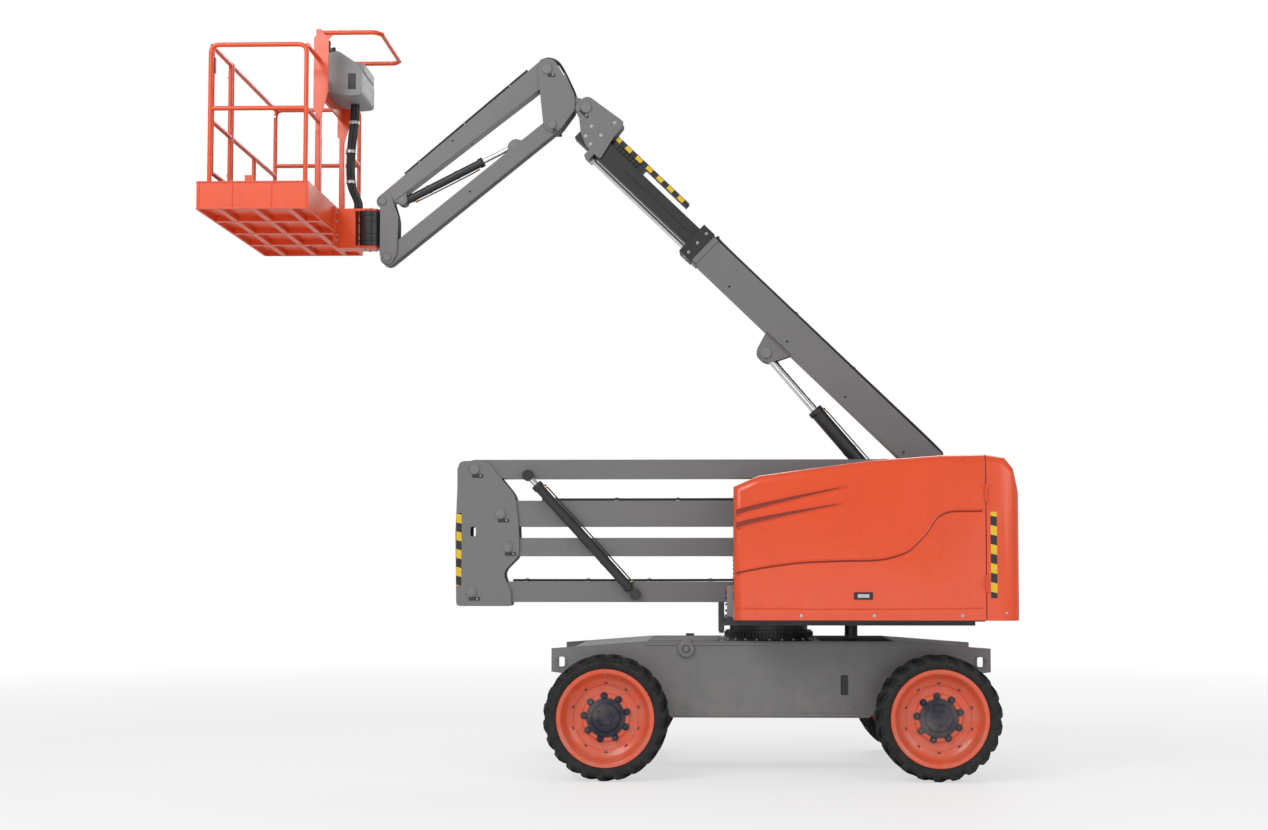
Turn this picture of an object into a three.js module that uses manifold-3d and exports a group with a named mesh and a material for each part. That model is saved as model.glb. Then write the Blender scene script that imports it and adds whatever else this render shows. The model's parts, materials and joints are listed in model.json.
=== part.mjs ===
// Articulating boom lift: wheeled chassis, slewing turret, folding riser, telescopic boom, jib, platform.
// Millimetres. +Z up, wheels on Z = 0. -X is the platform end, +X the counterweight end, -Y the right side.
import * as THREE from 'three';
import { mergeVertices } from 'three/addons/utils/BufferGeometryUtils.js';
import Module from 'manifold-3d';

const wasm = await Module();
wasm.setup();

// ---------------------------------------------------------------- driving dimensions

const FACE_GAP = 0.3; // between faces that touch
const PIN_GAP = 0.8; // beside a link in its clevis
const DEGREE = Math.PI / 180;

const tyre = { radius: 430, width: 315, bead: 322, shoulder: 60, facets: 30 };
const rim = { lip: 15, lipWidth: 11, inner: 270, hubRadius: 150, hubInner: 20, hubOuter: 60, faceRadius: 225 };
const wheelbase = 2280;
const overallWidth = 2300;

const chassis = {
  halfLength: 1565,
  halfWidth: 580,
  wall: 20,
  lugDepth: 165,
  top: 934,
  endTop: 884,
  endBottom: 717,
  bottom: 392,
  bellyHalfLength: 700,
  arch: 620,
  flatTopHalfLength: 900,
};
const axle = { tube: 65, pot: 130, flange: 110, flangeLength: 90, padWidth: 130, padY: 320, padLength: 170 };
const kingpin = { y: 760, radius: 35, ear: 25, earGap: 0.5, height: 140 };
const steerArm = { length: 190, thickness: 25, width: 50 };
const tieRod = { radius: 18, eyeRadius: 28 };

const slew = { ringRadius: 320, ringTop: 1000, raceRadius: 290, raceGap: 0.5 };
const deck = { bottom: 1045, top: 1100, front: -330, halfWidth: 514, trayEdge: 1075, trayThickness: 15, trayFront: -225 };
const flange = { length: 38, halfWidth: 500, height: 300 };

const cowl = {
  halfWidth: 1100,
  inner: 520,
  wall: 10,
  bottom: 1096,
  front: -262,
  seam: 1465,
  seamGap: 3,
  tail: 1700,
  round: 60,
  tailRound: 150,
};
// height of the cowl's top line along X
const cowlTop = [
  [-262, 2016], [-91, 2092], [671, 2196], [1156, 2231], [1465, 2237], [1600, 2215], [1660, 2140], [1700, 1950],
];
const cowlHigh = 2400; // clear above the cowl
const hinge = { radius: 8, stand: 9, length: 40, gap: 0.5, heights: [1330, 1950] };
const castingTop = 1420;

const riser = { y: -250, halfWidth: 70, wall: 10, cheek: 20, length: 3000 };
const link = {
  lowerArm: { x: -2180, z: 1284, depth: 150 },
  lowerLink: { x: -1917, z: 1612, depth: 134 },
  upperArm: { x: -1969, z: 1857, depth: 190 },
  upperLink: { x: -2162, z: 2184, depth: 138 },
};
const riserCylinder = {
  y: -385, radius: 35, rod: 20, eye: 40, eyeHalf: 20, stub: 25,
  top: { along: 400, z: -50 }, base: { along: 1205, z: -20 }, barrelEnd: 90,
};

const boomPivot = { x: 1270, z: 2160 };
const boomAngle = 44;
const boom = { length: 2450, tail: 120, depth: 240, halfWidth: 90, wall: 10, boss: 85, cheek: 20 };
const collar = { length: 110, rim: 15, slip: 0.8 };
const fly = { tip: -3740, inner: -1200, depth: 150, halfWidth: 60, wall: 8, z: 20 };
const extensionRod = { radius: 18, z: -83, inner: -1400, blockFront: -3590, blockRear: -3540 };
const hoseTray = { front: -3515, back: -2760, bottom: 142, height: 40, halfWidth: 35, feet: [-3475, -3205], footLength: 50 };
const liftLug = { x: -1557, z: -237, radius: 60, inner: 40 + PIN_GAP, thickness: 16 };
const liftBase = { x: 1117, z: 1750 };
const liftCylinder = { radius: 52, rod: 30, eye: 34, eyeHalf: 40, barrelLength: 1180, inside: 400 };

const nosePin = { x: -3830, z: 165, radius: 75 };
const cheekInner = 61;
const cheekOuter = 77;
const armHalf = cheekInner - PIN_GAP;
const jibPin = { x: -298, z: 301, radius: 95 }; // from the nose pin
const jibLinkPin = { x: 40, z: -430, radius: 58 }; // from the jib pin
const jib = { length: 1600, angle: 39, wall: 7, endRadius: 50, linkDepth: 116, linkInner: 38 };
const jibCylinder = {
  radius: 30, rod: 18, eye: 28, eyeHalf: 37.2, barrelLength: 680, inside: 284,
  base: { x: -1480, z: -88 }, pin: { x: -320, z: 75 }, lugInner: 38, lugOuter: 55,
};
const rotator = { x: -104, bottom: -338, top: -73, radius: 85 }; // from the jib's lower pin

const platform = {
  floor: -183, // below the jib's lower pin
  left: -1055, right: -255, halfWidth: 915, toeTop: 150, toeBottom: -50, sheet: 10, plate: 12,
  postLeft: -975, postRight: -287, postY: 880, gateY: -350, tube: 16, topRail: 1143, midRail: 683, sideMidRail: 600,
};
const consoleFrame = { yNear: -500, yFar: 280, width: 60, depth: 40, top: 1350, reach: 165, shelfBottom: 880, shelfTop: 1060 };

// ---------------------------------------------------------------- materials

const finish = (color, roughness, metalness) => new THREE.MeshStandardMaterial({ color, roughness, metalness });
const orange = finish('#e2522b', 0.45, 0.1);
const grey = finish('#6f6e70', 0.5, 0.2);
const dark = finish('#2e2d30', 0.55, 0.2);
const rubber = finish('#1d1d1f', 0.9, 0);
const chrome = finish('#d5d6da', 0.15, 1);
const castIron = finish('#3a3a3d', 0.7, 0.4);
const plastic = finish('#7d8082', 0.6, 0);

// ---------------------------------------------------------------- solids

function toSolid(geometry) {
  const bare = new THREE.BufferGeometry();
  const plain = geometry.index ? geometry.toNonIndexed() : geometry;
  bare.setAttribute('position', plain.attributes.position.clone());
  const merged = mergeVertices(bare, 0.001);
  const faces = [];
  for (let i = 0; i < merged.index.count; i += 3) {
    const [a, b, c] = [0, 1, 2].map((k) => merged.index.getX(i + k));
    if (a !== b && b !== c && c !== a) faces.push(a, b, c);
  }
  return new wasm.Manifold(new wasm.Mesh({
    numProp: 3,
    vertProperties: new Float32Array(merged.attributes.position.array),
    triVerts: new Uint32Array(faces),
  }));
}

function toGeometry(solid) {
  const mesh = solid.getMesh();
  const geometry = new THREE.BufferGeometry();
  geometry.setAttribute('position', new THREE.BufferAttribute(mesh.vertProperties, 3));
  geometry.setIndex(new THREE.BufferAttribute(mesh.triVerts, 1));
  return geometry;
}

const join = (first, ...rest) =>
  toGeometry(rest.reduce((solid, geometry) => solid.add(toSolid(geometry)), toSolid(first)));
const cut = (first, ...rest) =>
  toGeometry(rest.reduce((solid, geometry) => solid.subtract(toSolid(geometry)), toSolid(first)));
const common = (first, second) => toGeometry(toSolid(first).intersect(toSolid(second)));

// a box between two limits on each axis, given in any order
function block(xs, ys, zs) {
  const size = [xs, ys, zs].map(([a, b]) => Math.abs(b - a));
  const middle = [xs, ys, zs].map(([a, b]) => (a + b) / 2);
  return new THREE.BoxGeometry(...size).translate(...middle);
}

// a cylinder from point a to point b
function bar(a, b, radius, sides = 16) {
  const start = new THREE.Vector3(...a);
  const along = new THREE.Vector3(...b).sub(start);
  const turn = new THREE.Quaternion().setFromUnitVectors(new THREE.Vector3(0, 1, 0), along.clone().normalize());
  return new THREE.CylinderGeometry(radius, radius, along.length(), sides)
    .applyQuaternion(turn)
    .translate(...start.addScaledVector(along, 0.5).toArray());
}

const barY = (x, z, radius, y0, y1, sides = 24) => bar([x, y0, z], [x, y1, z], radius, sides);

// a closed outline from [u, v, corner radius] points; no corner takes more than half an edge
function outline(corners) {
  const shape = new THREE.Shape();
  corners.forEach(([u, v, wanted = 0], i) => {
    const here = new THREE.Vector2(u, v);
    const [before, after] = [corners.at(i - 1), corners[(i + 1) % corners.length]]
      .map(([x, y]) => new THREE.Vector2(x, y).sub(here));
    const radius = Math.min(wanted, 0.49 * before.length(), 0.49 * after.length());
    const from = before.setLength(radius).add(here);
    const to = after.setLength(radius).add(here);
    if (i === 0) shape.moveTo(from.x, from.y);
    else shape.lineTo(from.x, from.y);
    if (radius > 0) shape.quadraticCurveTo(u, v, to.x, to.y);
  });
  shape.closePath();
  return shape;
}

// an XZ outline as a plate between two Y limits, its long edges rounded where bevel is given
function plate(corners, [y0, y1], bevel = 0) {
  const low = Math.min(y0, y1);
  const high = Math.max(y0, y1);
  return new THREE.ExtrudeGeometry(outline(corners), {
    depth: high - low - 2 * bevel,
    curveSegments: 5,
    bevelEnabled: bevel > 0,
    bevelThickness: bevel,
    bevelSize: bevel,
    bevelOffset: -bevel,
    bevelSegments: 3,
  })
    .rotateX(Math.PI / 2)
    .translate(0, high - bevel, 0);
}

// an XY outline as a slab between two Z limits
function slab(corners, [z0, z1]) {
  return new THREE.ExtrudeGeometry(outline(corners), { depth: z1 - z0, curveSegments: 6, bevelEnabled: false })
    .translate(0, 0, z0);
}

// a solid turned about Y: [radius, y] points from axis to axis, or a closed ring
function turned(profile, sides) {
  return new THREE.LatheGeometry(profile.map(([r, y]) => new THREE.Vector2(r, y)), sides);
}

// the hull-like plate around a few pins: a rounded strip from each pin to the next
function strap(pins, radius, ys) {
  const strips = pins.slice(1).map((pin, i) => {
    const [ax, az] = pins[i];
    const [bx, bz] = pin;
    const length = Math.hypot(bx - ax, bz - az);
    return block([0, length], ys, [-radius, radius])
      .rotateY(-Math.atan2(bz - az, bx - ax))
      .translate(ax, 0, az);
  });
  const ends = pins.map(([x, z]) => barY(x, z, radius, ...ys));
  return join(...ends, ...strips);
}

// a rectangular tube along -X from a boss at the origin to a boss at its far end
function tubeLink(length, depth, halfWidth, wall) {
  const half = depth / 2;
  const ys = [-halfWidth, halfWidth];
  const body = cut(
    block([-length, 0], ys, [-half, half]),
    block([-length + half, -half], [-halfWidth + wall, halfWidth - wall], [-half + wall, half - wall]),
    bar([-length / 2, 0, -half - wall], [-length / 2, 0, 0], wall, 12),
  );
  return join(body, barY(0, 0, half, ...ys), barY(-length, 0, half, ...ys));
}

function add(parent, name, geometry, material) {
  const mesh = new THREE.Mesh(geometry, material);
  mesh.name = name;
  parent.add(mesh);
  return mesh;
}

function frameAt(parent, x, y, z, pitch = 0) {
  const group = new THREE.Group();
  group.position.set(x, y, z);
  group.rotation.y = pitch * DEGREE;
  parent.add(group);
  return group;
}

const machine = new THREE.Group();
const ends = { drive: -wheelbase / 2, steer: wheelbase / 2 };
const sides = { right: -1, left: 1 };
const wheelY = (overallWidth - tyre.width) / 2;
const hubFace = wheelY + rim.hubInner - PIN_GAP / 2;

// ---------------------------------------------------------------- wheels

function tyreGeometry() {
  const half = tyre.width / 2;
  const seat = half - rim.lip - rim.lipWidth - 3;
  const profile = [
    [tyre.bead, -seat],
    [tyre.bead + rim.lip + 1, -seat],
    [tyre.bead + rim.lip + 1, -seat - rim.lipWidth],
    [tyre.radius - tyre.shoulder, -half],
    [tyre.radius - 18, -half + 12],
    [tyre.radius, -half + 42],
    [tyre.radius, half - 42],
    [tyre.radius - 18, half - 12],
    [tyre.radius - tyre.shoulder, half],
    [tyre.bead + rim.lip + 1, seat + rim.lipWidth],
    [tyre.bead + rim.lip + 1, seat],
    [tyre.bead, seat],
    [tyre.bead, -seat],
  ];
  return turned(profile, tyre.facets);
}

// the disc's outer face looks along +Y
function rimGeometry() {
  const barrel = tyre.bead - 0.5;
  const lip = tyre.bead + rim.lip;
  const seat = tyre.width / 2 - rim.lip - rim.lipWidth - 3.5 + 1;
  const edge = seat + rim.lipWidth - 1;
  const profile = [
    [0, rim.hubInner],
    [rim.hubRadius, rim.hubInner],
    [rim.faceRadius, rim.hubInner - 10],
    [rim.inner, rim.hubInner + 20],
    [rim.inner, -edge],
    [lip, -edge],
    [lip, -seat],
    [barrel, -seat],
    [barrel, seat],
    [lip, seat],
    [lip, edge],
    [rim.inner + 16, edge],
    [rim.inner + 4, 70],
    [rim.faceRadius, 30],
    [rim.hubRadius, rim.hubOuter - 10],
    [rim.hubRadius - 20, rim.hubOuter],
    [0, rim.hubOuter],
  ];
  return turned(profile, tyre.facets);
}

function addWheel(parent, end, side, x, y) {
  const group = frameAt(parent, x, y, tyre.radius);
  group.rotation.z = sides[side] < 0 ? Math.PI : 0;
  add(group, `tyre_${end}_${side}`, tyreGeometry(), rubber);
  add(group, `rim_${end}_${side}`, rimGeometry(), orange);
}

// ---------------------------------------------------------------- chassis

function chassisGeometry() {
  const { halfWidth, wall, halfLength, lugDepth, bellyHalfLength, bottom, arch, top, endTop, endBottom } = chassis;
  const half = [
    [bellyHalfLength, bottom],
    [bellyHalfLength + 290, arch],
    [bellyHalfLength + 590, arch],
    [halfLength - 125, arch + 80],
    [halfLength, endBottom],
    [halfLength, endTop],
    [chassis.flatTopHalfLength, top],
  ];
  const profile = [...half, ...half.toReversed().map(([x, z]) => [-x, z])];
  const lugGaps = [-1, 1].map((end) =>
    block([end * (halfLength - lugDepth), end * (halfLength + 1)], [-halfWidth + wall, halfWidth - wall], [arch, top]));
  const eyes = [-1, 1].map((end) =>
    block([end * (halfLength - 95), end * (halfLength - 55)], [-halfWidth - 1, halfWidth + 1],
      [endTop - 130, endTop - 60]));
  const slot = block([500, 520], [-halfWidth - 1, -halfWidth + wall], [560, 690]);
  return cut(plate(profile, [-halfWidth, halfWidth]), ...lugGaps, ...eyes, slot);
}

// one axle beam, its saddle pads up against the chassis arch
function axleBeam(x, halfLength) {
  const { tube, pot, padY, padWidth, padLength } = axle;
  const z = tyre.radius;
  const pads = [-padY, padY].map((y) =>
    block([x - padLength / 2, x + padLength / 2], [y - padWidth / 2, y + padWidth / 2],
      [z, chassis.arch - FACE_GAP]));
  return join(
    bar([x, -halfLength, z], [x, halfLength, z], tube, 20),
    bar([x, -150, z], [x, 150, z], pot, 20),
    ...pads,
  );
}

function driveAxleGeometry() {
  const x = ends.drive;
  const flanges = [-1, 1].map((s) =>
    bar([x, s * (hubFace - axle.flangeLength), tyre.radius], [x, s * hubFace, tyre.radius], axle.flange, 24));
  return join(axleBeam(x, hubFace - 20), ...flanges);
}

function steerAxleGeometry() {
  const x = ends.steer;
  const z = tyre.radius;
  const half = kingpin.height / 2 + kingpin.earGap;
  const yokes = [-1, 1].flatMap((s) => {
    const web = [s * (kingpin.y - 90), s * (kingpin.y - 60)];
    const ear = [s * (kingpin.y - 90), s * (kingpin.y + 40)];
    return [
      block([x - 50, x + 50], web, [z - half - kingpin.ear, z + half + kingpin.ear]),
      block([x - 50, x + 50], ear, [z + half, z + half + kingpin.ear]),
      block([x - 50, x + 50], ear, [z - half - kingpin.ear, z - half]),
    ];
  });
  return join(axleBeam(x, kingpin.y - 75), ...yokes);
}

// kingpin, spindle and steering arm, in a frame on the kingpin's axis; side points outwards
function knuckleGeometry(side) {
  const half = kingpin.height / 2;
  const outer = side * (hubFace - kingpin.y);
  const arm = [-steerArm.width / 2, steerArm.width / 2];
  return join(
    bar([0, 0, -half], [0, 0, half], kingpin.radius, 20),
    bar([0, 0, 0], [0, outer, 0], 55, 20),
    bar([0, outer - side * axle.flangeLength, 0], [0, outer, 0], axle.flange, 24),
    block([0, steerArm.length], arm, [-half, -half + steerArm.thickness]),
    bar([steerArm.length, 0, -half], [steerArm.length, 0, -half + steerArm.thickness], steerArm.width / 2, 16),
  );
}

function tieRodGeometry() {
  const z = -kingpin.height / 2 + steerArm.thickness + kingpin.earGap;
  const eyes = [-kingpin.y, kingpin.y].map((y) =>
    bar([0, y, z], [0, y, z + 2 * tieRod.radius], tieRod.eyeRadius, 16));
  const middle = z + tieRod.radius;
  return join(bar([0, -kingpin.y, middle], [0, kingpin.y, middle], tieRod.radius, 12), ...eyes);
}

function addUndercarriage() {
  add(machine, 'chassis_frame', chassisGeometry(), grey);
  add(machine, 'slew_ring',
    bar([0, 0, chassis.top + FACE_GAP], [0, 0, slew.ringTop], slew.ringRadius, 48), dark);
  add(machine, 'drive_axle', driveAxleGeometry(), castIron);
  add(machine, 'steer_axle', steerAxleGeometry(), castIron);
  for (const [side, sign] of Object.entries(sides)) {
    addWheel(machine, 'drive', side, ends.drive, sign * wheelY);
    const pivot = frameAt(machine, ends.steer, sign * kingpin.y, tyre.radius);
    add(pivot, `steer_knuckle_${side}`, knuckleGeometry(sign), castIron);
    addWheel(machine, 'steer', side, ends.steer, sign * wheelY);
  }
  const rodFrame = frameAt(machine, ends.steer + steerArm.length, 0, tyre.radius);
  add(rodFrame, 'tie_rod', tieRodGeometry(), castIron);
}

// ---------------------------------------------------------------- turret

// side outline of the cowl from one X to another, taken in by inset and run on below its bottom edge
function cowlSide(from, to, inset, lastShaped = to) {
  const heightAt = (x) => {
    const i = cowlTop.findIndex(([edge]) => edge >= x);
    if (i <= 0) return cowlTop.at(i < 0 ? -1 : 0)[1];
    const [x0, z0] = cowlTop[i - 1];
    const [x1, z1] = cowlTop[i];
    return z0 + ((z1 - z0) * (x - x0)) / (x1 - x0);
  };
  const inside = cowlTop.filter(([x]) => x > from && x < lastShaped);
  const top = [[from, heightAt(from)], ...inside, [to, heightAt(lastShaped)]];
  const low = cowl.bottom - 3 * cowl.round;
  return [[from, low], ...top.map(([x, z]) => [x, z - inset]), [to, low]];
}

function hingeBarrel(side, z, grow, towards) {
  const y = side * (cowl.halfWidth + hinge.stand);
  const leaf = [side * (cowl.halfWidth - 4), y];
  return [
    bar([cowl.seam, y, z], [cowl.seam, y, z + grow], hinge.radius, 12),
    block([cowl.seam, cowl.seam + towards * 16], leaf, [z, z + grow]),
  ];
}

// one hood: a shell open at the bottom, the seam and its inner side, hinged at the seam
function hoodGeometry(side) {
  const { front, seam, seamGap, wall, inner, halfWidth, round, bottom } = cowl;
  const rear = seam - seamGap;
  const beyond = rear + 2 * round;
  const low = bottom - 4 * round;
  const shell = cut(
    plate(cowlSide(front, beyond, 0, rear), [side * (inner - round), side * halfWidth], round),
    plate(cowlSide(front + wall, beyond + round, wall, rear), [side * (inner - 2 * round), side * (halfWidth - wall)],
      round - wall),
    block([front - 1, beyond + 1], [0, side * inner], [low, cowlHigh]),
    block([rear, beyond + 1], [side * (inner - 1), side * (halfWidth + 1)], [low, cowlHigh]),
    block([front - 1, beyond + 1], [side * (inner - 1), side * (halfWidth + 1)], [low, bottom]),
  );
  const barrels = hinge.heights.flatMap((z) => hingeBarrel(side, z, hinge.length, -1));
  return join(shell, ...barrels);
}

function counterweightGeometry() {
  const { seam, seamGap, tail, tailRound, halfWidth, round, bottom } = cowl;
  const front = seam + seamGap;
  const plan = [
    [front, -halfWidth], [tail, -halfWidth, tailRound], [tail, halfWidth, tailRound], [front, halfWidth],
  ];
  const body = common(
    plate(cowlSide(front - 4 * round, tail, 0), [-halfWidth, halfWidth], round),
    slab(plan, [bottom, cowlHigh]),
  );
  const pocket = block([front - 1, tail - 60], [-halfWidth + 60, halfWidth - 60], [castingTop, 2060]);
  const barrels = [-1, 1].flatMap((side) => hinge.heights.flatMap((z) => [
    ...hingeBarrel(side, z - hinge.gap - hinge.length, hinge.length, 1),
    ...hingeBarrel(side, z + hinge.length + hinge.gap, hinge.length, 1),
  ]));
  return join(cut(body, pocket), ...barrels);
}

const riserCheeks = [-1, 1].map((s) => [
  riser.y + s * (riser.halfWidth + PIN_GAP),
  riser.y + s * (riser.halfWidth + PIN_GAP + riser.cheek),
]);
const betweenCheeks = [riserCheeks[0][1] + 1, riserCheeks[1][1] - 1];
const farPin = ({ x, z }) => [x + riser.length, z];

function turretFrameGeometry() {
  const rear = cowl.seam + cowl.seamGap - FACE_GAP;
  const [lowX, lowZ] = farPin(link.lowerArm);
  const [highX, highZ] = farPin(link.lowerLink);
  const towers = riserCheeks.map((ys) => plate([
    [lowX - 110, deck.top - 1],
    [lowX - 90, lowZ + 60, 60],
    [highX - 75, highZ + 75, 70],
    [highX + 75, highZ + 75, 70],
    [highX + 130, deck.top - 1],
  ], ys));
  return join(
    block([deck.front, rear], [-deck.halfWidth, deck.halfWidth], [deck.bottom, deck.top]),
    block([deck.trayFront, cowl.seam - 180], [-deck.trayEdge, deck.trayEdge], [deck.top - deck.trayThickness, deck.top]),
    block([rear - flange.length, rear], [-flange.halfWidth, flange.halfWidth], [deck.top - 1, deck.top + flange.height]),
    bar([0, 0, slew.ringTop + slew.raceGap], [0, 0, deck.bottom + 1], slew.raceRadius, 48),
    ...towers,
    block([lowX + 100, lowX + 125], betweenCheeks, [deck.top - 1, highZ - 100]),
    bar([615, 0, chassis.top + 20], [615, 0, deck.bottom + 1], 48, 16),
  );
}

// upright at the front of the deck with the turntable lock at its foot
function lockPostGeometry() {
  const x = deck.front - FACE_GAP;
  return join(
    block([x - 45, x], [-30, 30], [990, 1240]),
    bar([x - 22, 0, 975], [x - 22, 0, 1000], 18, 12),
  );
}

function addTurret() {
  add(machine, 'turret_frame', turretFrameGeometry(), dark);
  add(machine, 'turntable_lock', lockPostGeometry(), grey);
  add(machine, 'counterweight', counterweightGeometry(), orange);
  add(machine, 'engine_block', plate([
    [180, deck.top + FACE_GAP, 30], [180, 1680, 60], [620, 1790, 60], [960, 1700, 60], [960, deck.top + FACE_GAP, 30],
  ], [610, 990]), castIron);
  add(machine, 'tank_block', plate([
    [40, deck.top + FACE_GAP, 30], [40, 1560, 60], [860, 1560, 60], [860, deck.top + FACE_GAP, 30],
  ], [-990, -640]), dark);
  for (const [side, sign] of Object.entries(sides)) add(machine, `hood_${side}`, hoodGeometry(sign), orange);
}

// ---------------------------------------------------------------- riser

const riserStub = (x, z) =>
  barY(x, z, riserCylinder.stub, riser.y - riser.halfWidth + 1,
    riserCylinder.y + riserCylinder.eyeHalf + FACE_GAP, 16).translate(0, -riser.y, 0);

// the riser's four links are drawn along -X from their right-hand pins, stowed level
function addRiserLink(name, { x, z, depth }, material, ...extras) {
  const group = frameAt(machine, x + riser.length, riser.y, z);
  const body = tubeLink(riser.length, depth, riser.halfWidth, riser.wall);
  add(group, name, extras.length ? join(body, ...extras) : body, material);
}

function midUprightGeometry() {
  const pins = Object.values(link);
  const left = link.lowerArm.x - 120;
  const right = link.lowerLink.x + 20;
  const bottom = link.lowerArm.z - 104;
  const top = link.upperLink.z + 60;
  const side = [
    [left + 10, bottom, 30], [left, (bottom + top) / 2], [left + 20, top, 50], [link.upperLink.x + 90, top, 50],
    [link.upperArm.x + 110, link.upperArm.z + 130, 60], [right + 60, link.upperArm.z - 60, 40],
    [right + 70, link.lowerLink.z - 60, 50], [right - 60, link.lowerLink.z - 190, 60],
    [right + 10, bottom + 110, 40], [right + 10, bottom, 20],
  ];
  const window = [[-2190, 1690, 12], [-2150, 1690, 12], [-2150, 1760, 12], [-2190, 1760, 12]];
  const cheeks = riserCheeks.map((ys) => cut(plate(side, ys), plate(window, [riser.y - 200, riser.y + 200])));
  const back = block([left + 12, left + 32], betweenCheeks, [bottom + 30, top - 50]);
  const rest = pins.map(({ x, z }) => barY(x, z, 40, riserCheeks[0][1] - 8, riserCheeks[0][0] - 1, 20));
  return join(...cheeks, back, ...rest);
}

function upperUprightGeometry() {
  const [armX, armZ] = farPin(link.upperArm);
  const [linkX, linkZ] = farPin(link.upperLink);
  const web = [1180, 1212];
  const webZ = [1690, 1980];
  const riserSides = riserCheeks.map((ys) => plate([
    [linkX - 70, linkZ - 60, 60], [linkX - 70, linkZ + 70, 60], [linkX + 70, linkZ + 70, 60],
    [web[1], webZ[1]], [web[1], webZ[0]], [armX - 60, armZ - 95, 60],
  ], ys));
  const boomSides = [-1, 1].map((s) => plate([
    [liftBase.x - 60, liftBase.z - 60, 60], [liftBase.x - 60, liftBase.z + 60, 40],
    [boomPivot.x - 90, boomPivot.z + 20, 30], [boomPivot.x - 60, boomPivot.z + 90, 35],
    [boomPivot.x + 60, boomPivot.z + 90, 60], [boomPivot.x + 90, boomPivot.z - 60, 60],
    [web[1] + 10, webZ[0], 30],
  ], [s * (boom.halfWidth + PIN_GAP), s * (boom.halfWidth + PIN_GAP + boom.cheek)]));
  const across = [riserCheeks[0][1], boom.halfWidth + PIN_GAP + boom.cheek];
  const baseStubs = [-1, 1].map((s) =>
    barY(liftBase.x, liftBase.z, 45, s * (liftCylinder.eyeHalf + PIN_GAP), s * (boom.halfWidth + PIN_GAP + 1), 20));
  return join(...riserSides, ...boomSides, block(web, across, webZ), ...baseStubs);
}

// eye, barrel and rod of a cylinder, drawn along -X from the base eye
function barrelGeometry({ radius, eye, eyeHalf, barrelLength }) {
  return join(
    barY(0, 0, eye, -eyeHalf, eyeHalf, 20),
    bar([-eye * 0.8, 0, 0], [-eye - 20, 0, 0], Math.min(radius, eyeHalf), 20),
    bar([-eye - 15, 0, 0], [-barrelLength, 0, 0], radius, 24),
  );
}

function openBarrel(spec) {
  return cut(
    barrelGeometry(spec),
    bar([-spec.eye - 30, 0, 0], [-spec.barrelLength - 1, 0, 0], spec.rod + FACE_GAP, 20),
  );
}

function rodGeometry({ rod, eye, eyeHalf, radius }, length, inside) {
  return join(
    barY(-length, 0, eye, -eyeHalf, eyeHalf, 20),
    bar([-inside, 0, 0], [-length + eye * 0.8, 0, 0], rod, 20),
  );
}

function addRiser() {
  const { top, base } = riserCylinder;
  const stubTop = riserStub(top.along - riser.length, top.z);
  const stubBase = riserStub(base.along - riser.length, base.z);
  addRiserLink('riser_lower_arm', link.lowerArm, grey, stubBase);
  addRiserLink('riser_lower_link', link.lowerLink, grey);
  addRiserLink('riser_upper_arm', link.upperArm, grey);
  addRiserLink('riser_upper_link', link.upperLink, grey, stubTop);
  add(machine, 'riser_mid_upright', midUprightGeometry(), grey);
  add(machine, 'riser_upper_upright', upperUprightGeometry(), grey);

  const start = [link.lowerArm.x + base.along, link.lowerArm.z + base.z];
  const end = [link.upperLink.x + top.along, link.upperLink.z + top.z];
  const span = Math.hypot(end[0] - start[0], end[1] - start[1]);
  const lift = Math.atan2(end[1] - start[1], start[0] - end[0]) / DEGREE;
  const spec = { ...riserCylinder, barrelLength: span - riserCylinder.barrelEnd };
  const group = frameAt(machine, start[0], riserCylinder.y, start[1], lift);
  add(group, 'riser_cylinder_barrel', openBarrel(spec), dark);
  add(group, 'riser_cylinder_rod', rodGeometry(spec, span, spec.eye + 32), chrome);
}

// ---------------------------------------------------------------- main boom

function boomBaseGeometry() {
  const { length, tail, depth, halfWidth, wall, boss } = boom;
  const half = depth / 2;
  const tube = cut(
    block([-length, tail], [-halfWidth, halfWidth], [-half, half]),
    block([-length - 1, tail - 2 * wall], [-halfWidth + wall, halfWidth - wall], [-half + wall, half - wall]),
  );
  const lugs = [-1, 1].map((s) => plate([
    [liftLug.x - 110, -half + 1], [liftLug.x - 60, liftLug.z - liftLug.radius, 50],
    [liftLug.x + 60, liftLug.z - liftLug.radius, 50], [liftLug.x + 150, -half + 1],
  ], [s * liftLug.inner, s * (liftLug.inner + liftLug.thickness)]));
  return join(tube, barY(0, 0, boss, -halfWidth, halfWidth, 28), ...lugs);
}

function collarGeometry() {
  const { length, halfWidth, depth } = boom;
  const { rim: edge, slip } = collar;
  const half = depth / 2 + edge;
  const from = -length - FACE_GAP - collar.length;
  const flyHalf = fly.halfWidth + slip;
  return cut(
    block([from, -length - FACE_GAP], [-halfWidth - edge, halfWidth + edge], [-half, half]),
    block([from - 1, 0], [-flyHalf, flyHalf], [fly.z - fly.depth / 2 - slip, fly.z + fly.depth / 2 + slip]),
    bar([from - 1, 0, extensionRod.z], [0, 0, extensionRod.z], extensionRod.radius + slip, 20),
  );
}

function flyGeometry() {
  const half = fly.depth / 2;
  return cut(
    block([fly.tip, fly.inner], [-fly.halfWidth, fly.halfWidth], [fly.z - half, fly.z + half]),
    block([fly.tip - 1, fly.inner + 1], [-fly.halfWidth + fly.wall, fly.halfWidth - fly.wall],
      [fly.z - half + fly.wall, fly.z + half - fly.wall]),
  );
}

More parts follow.
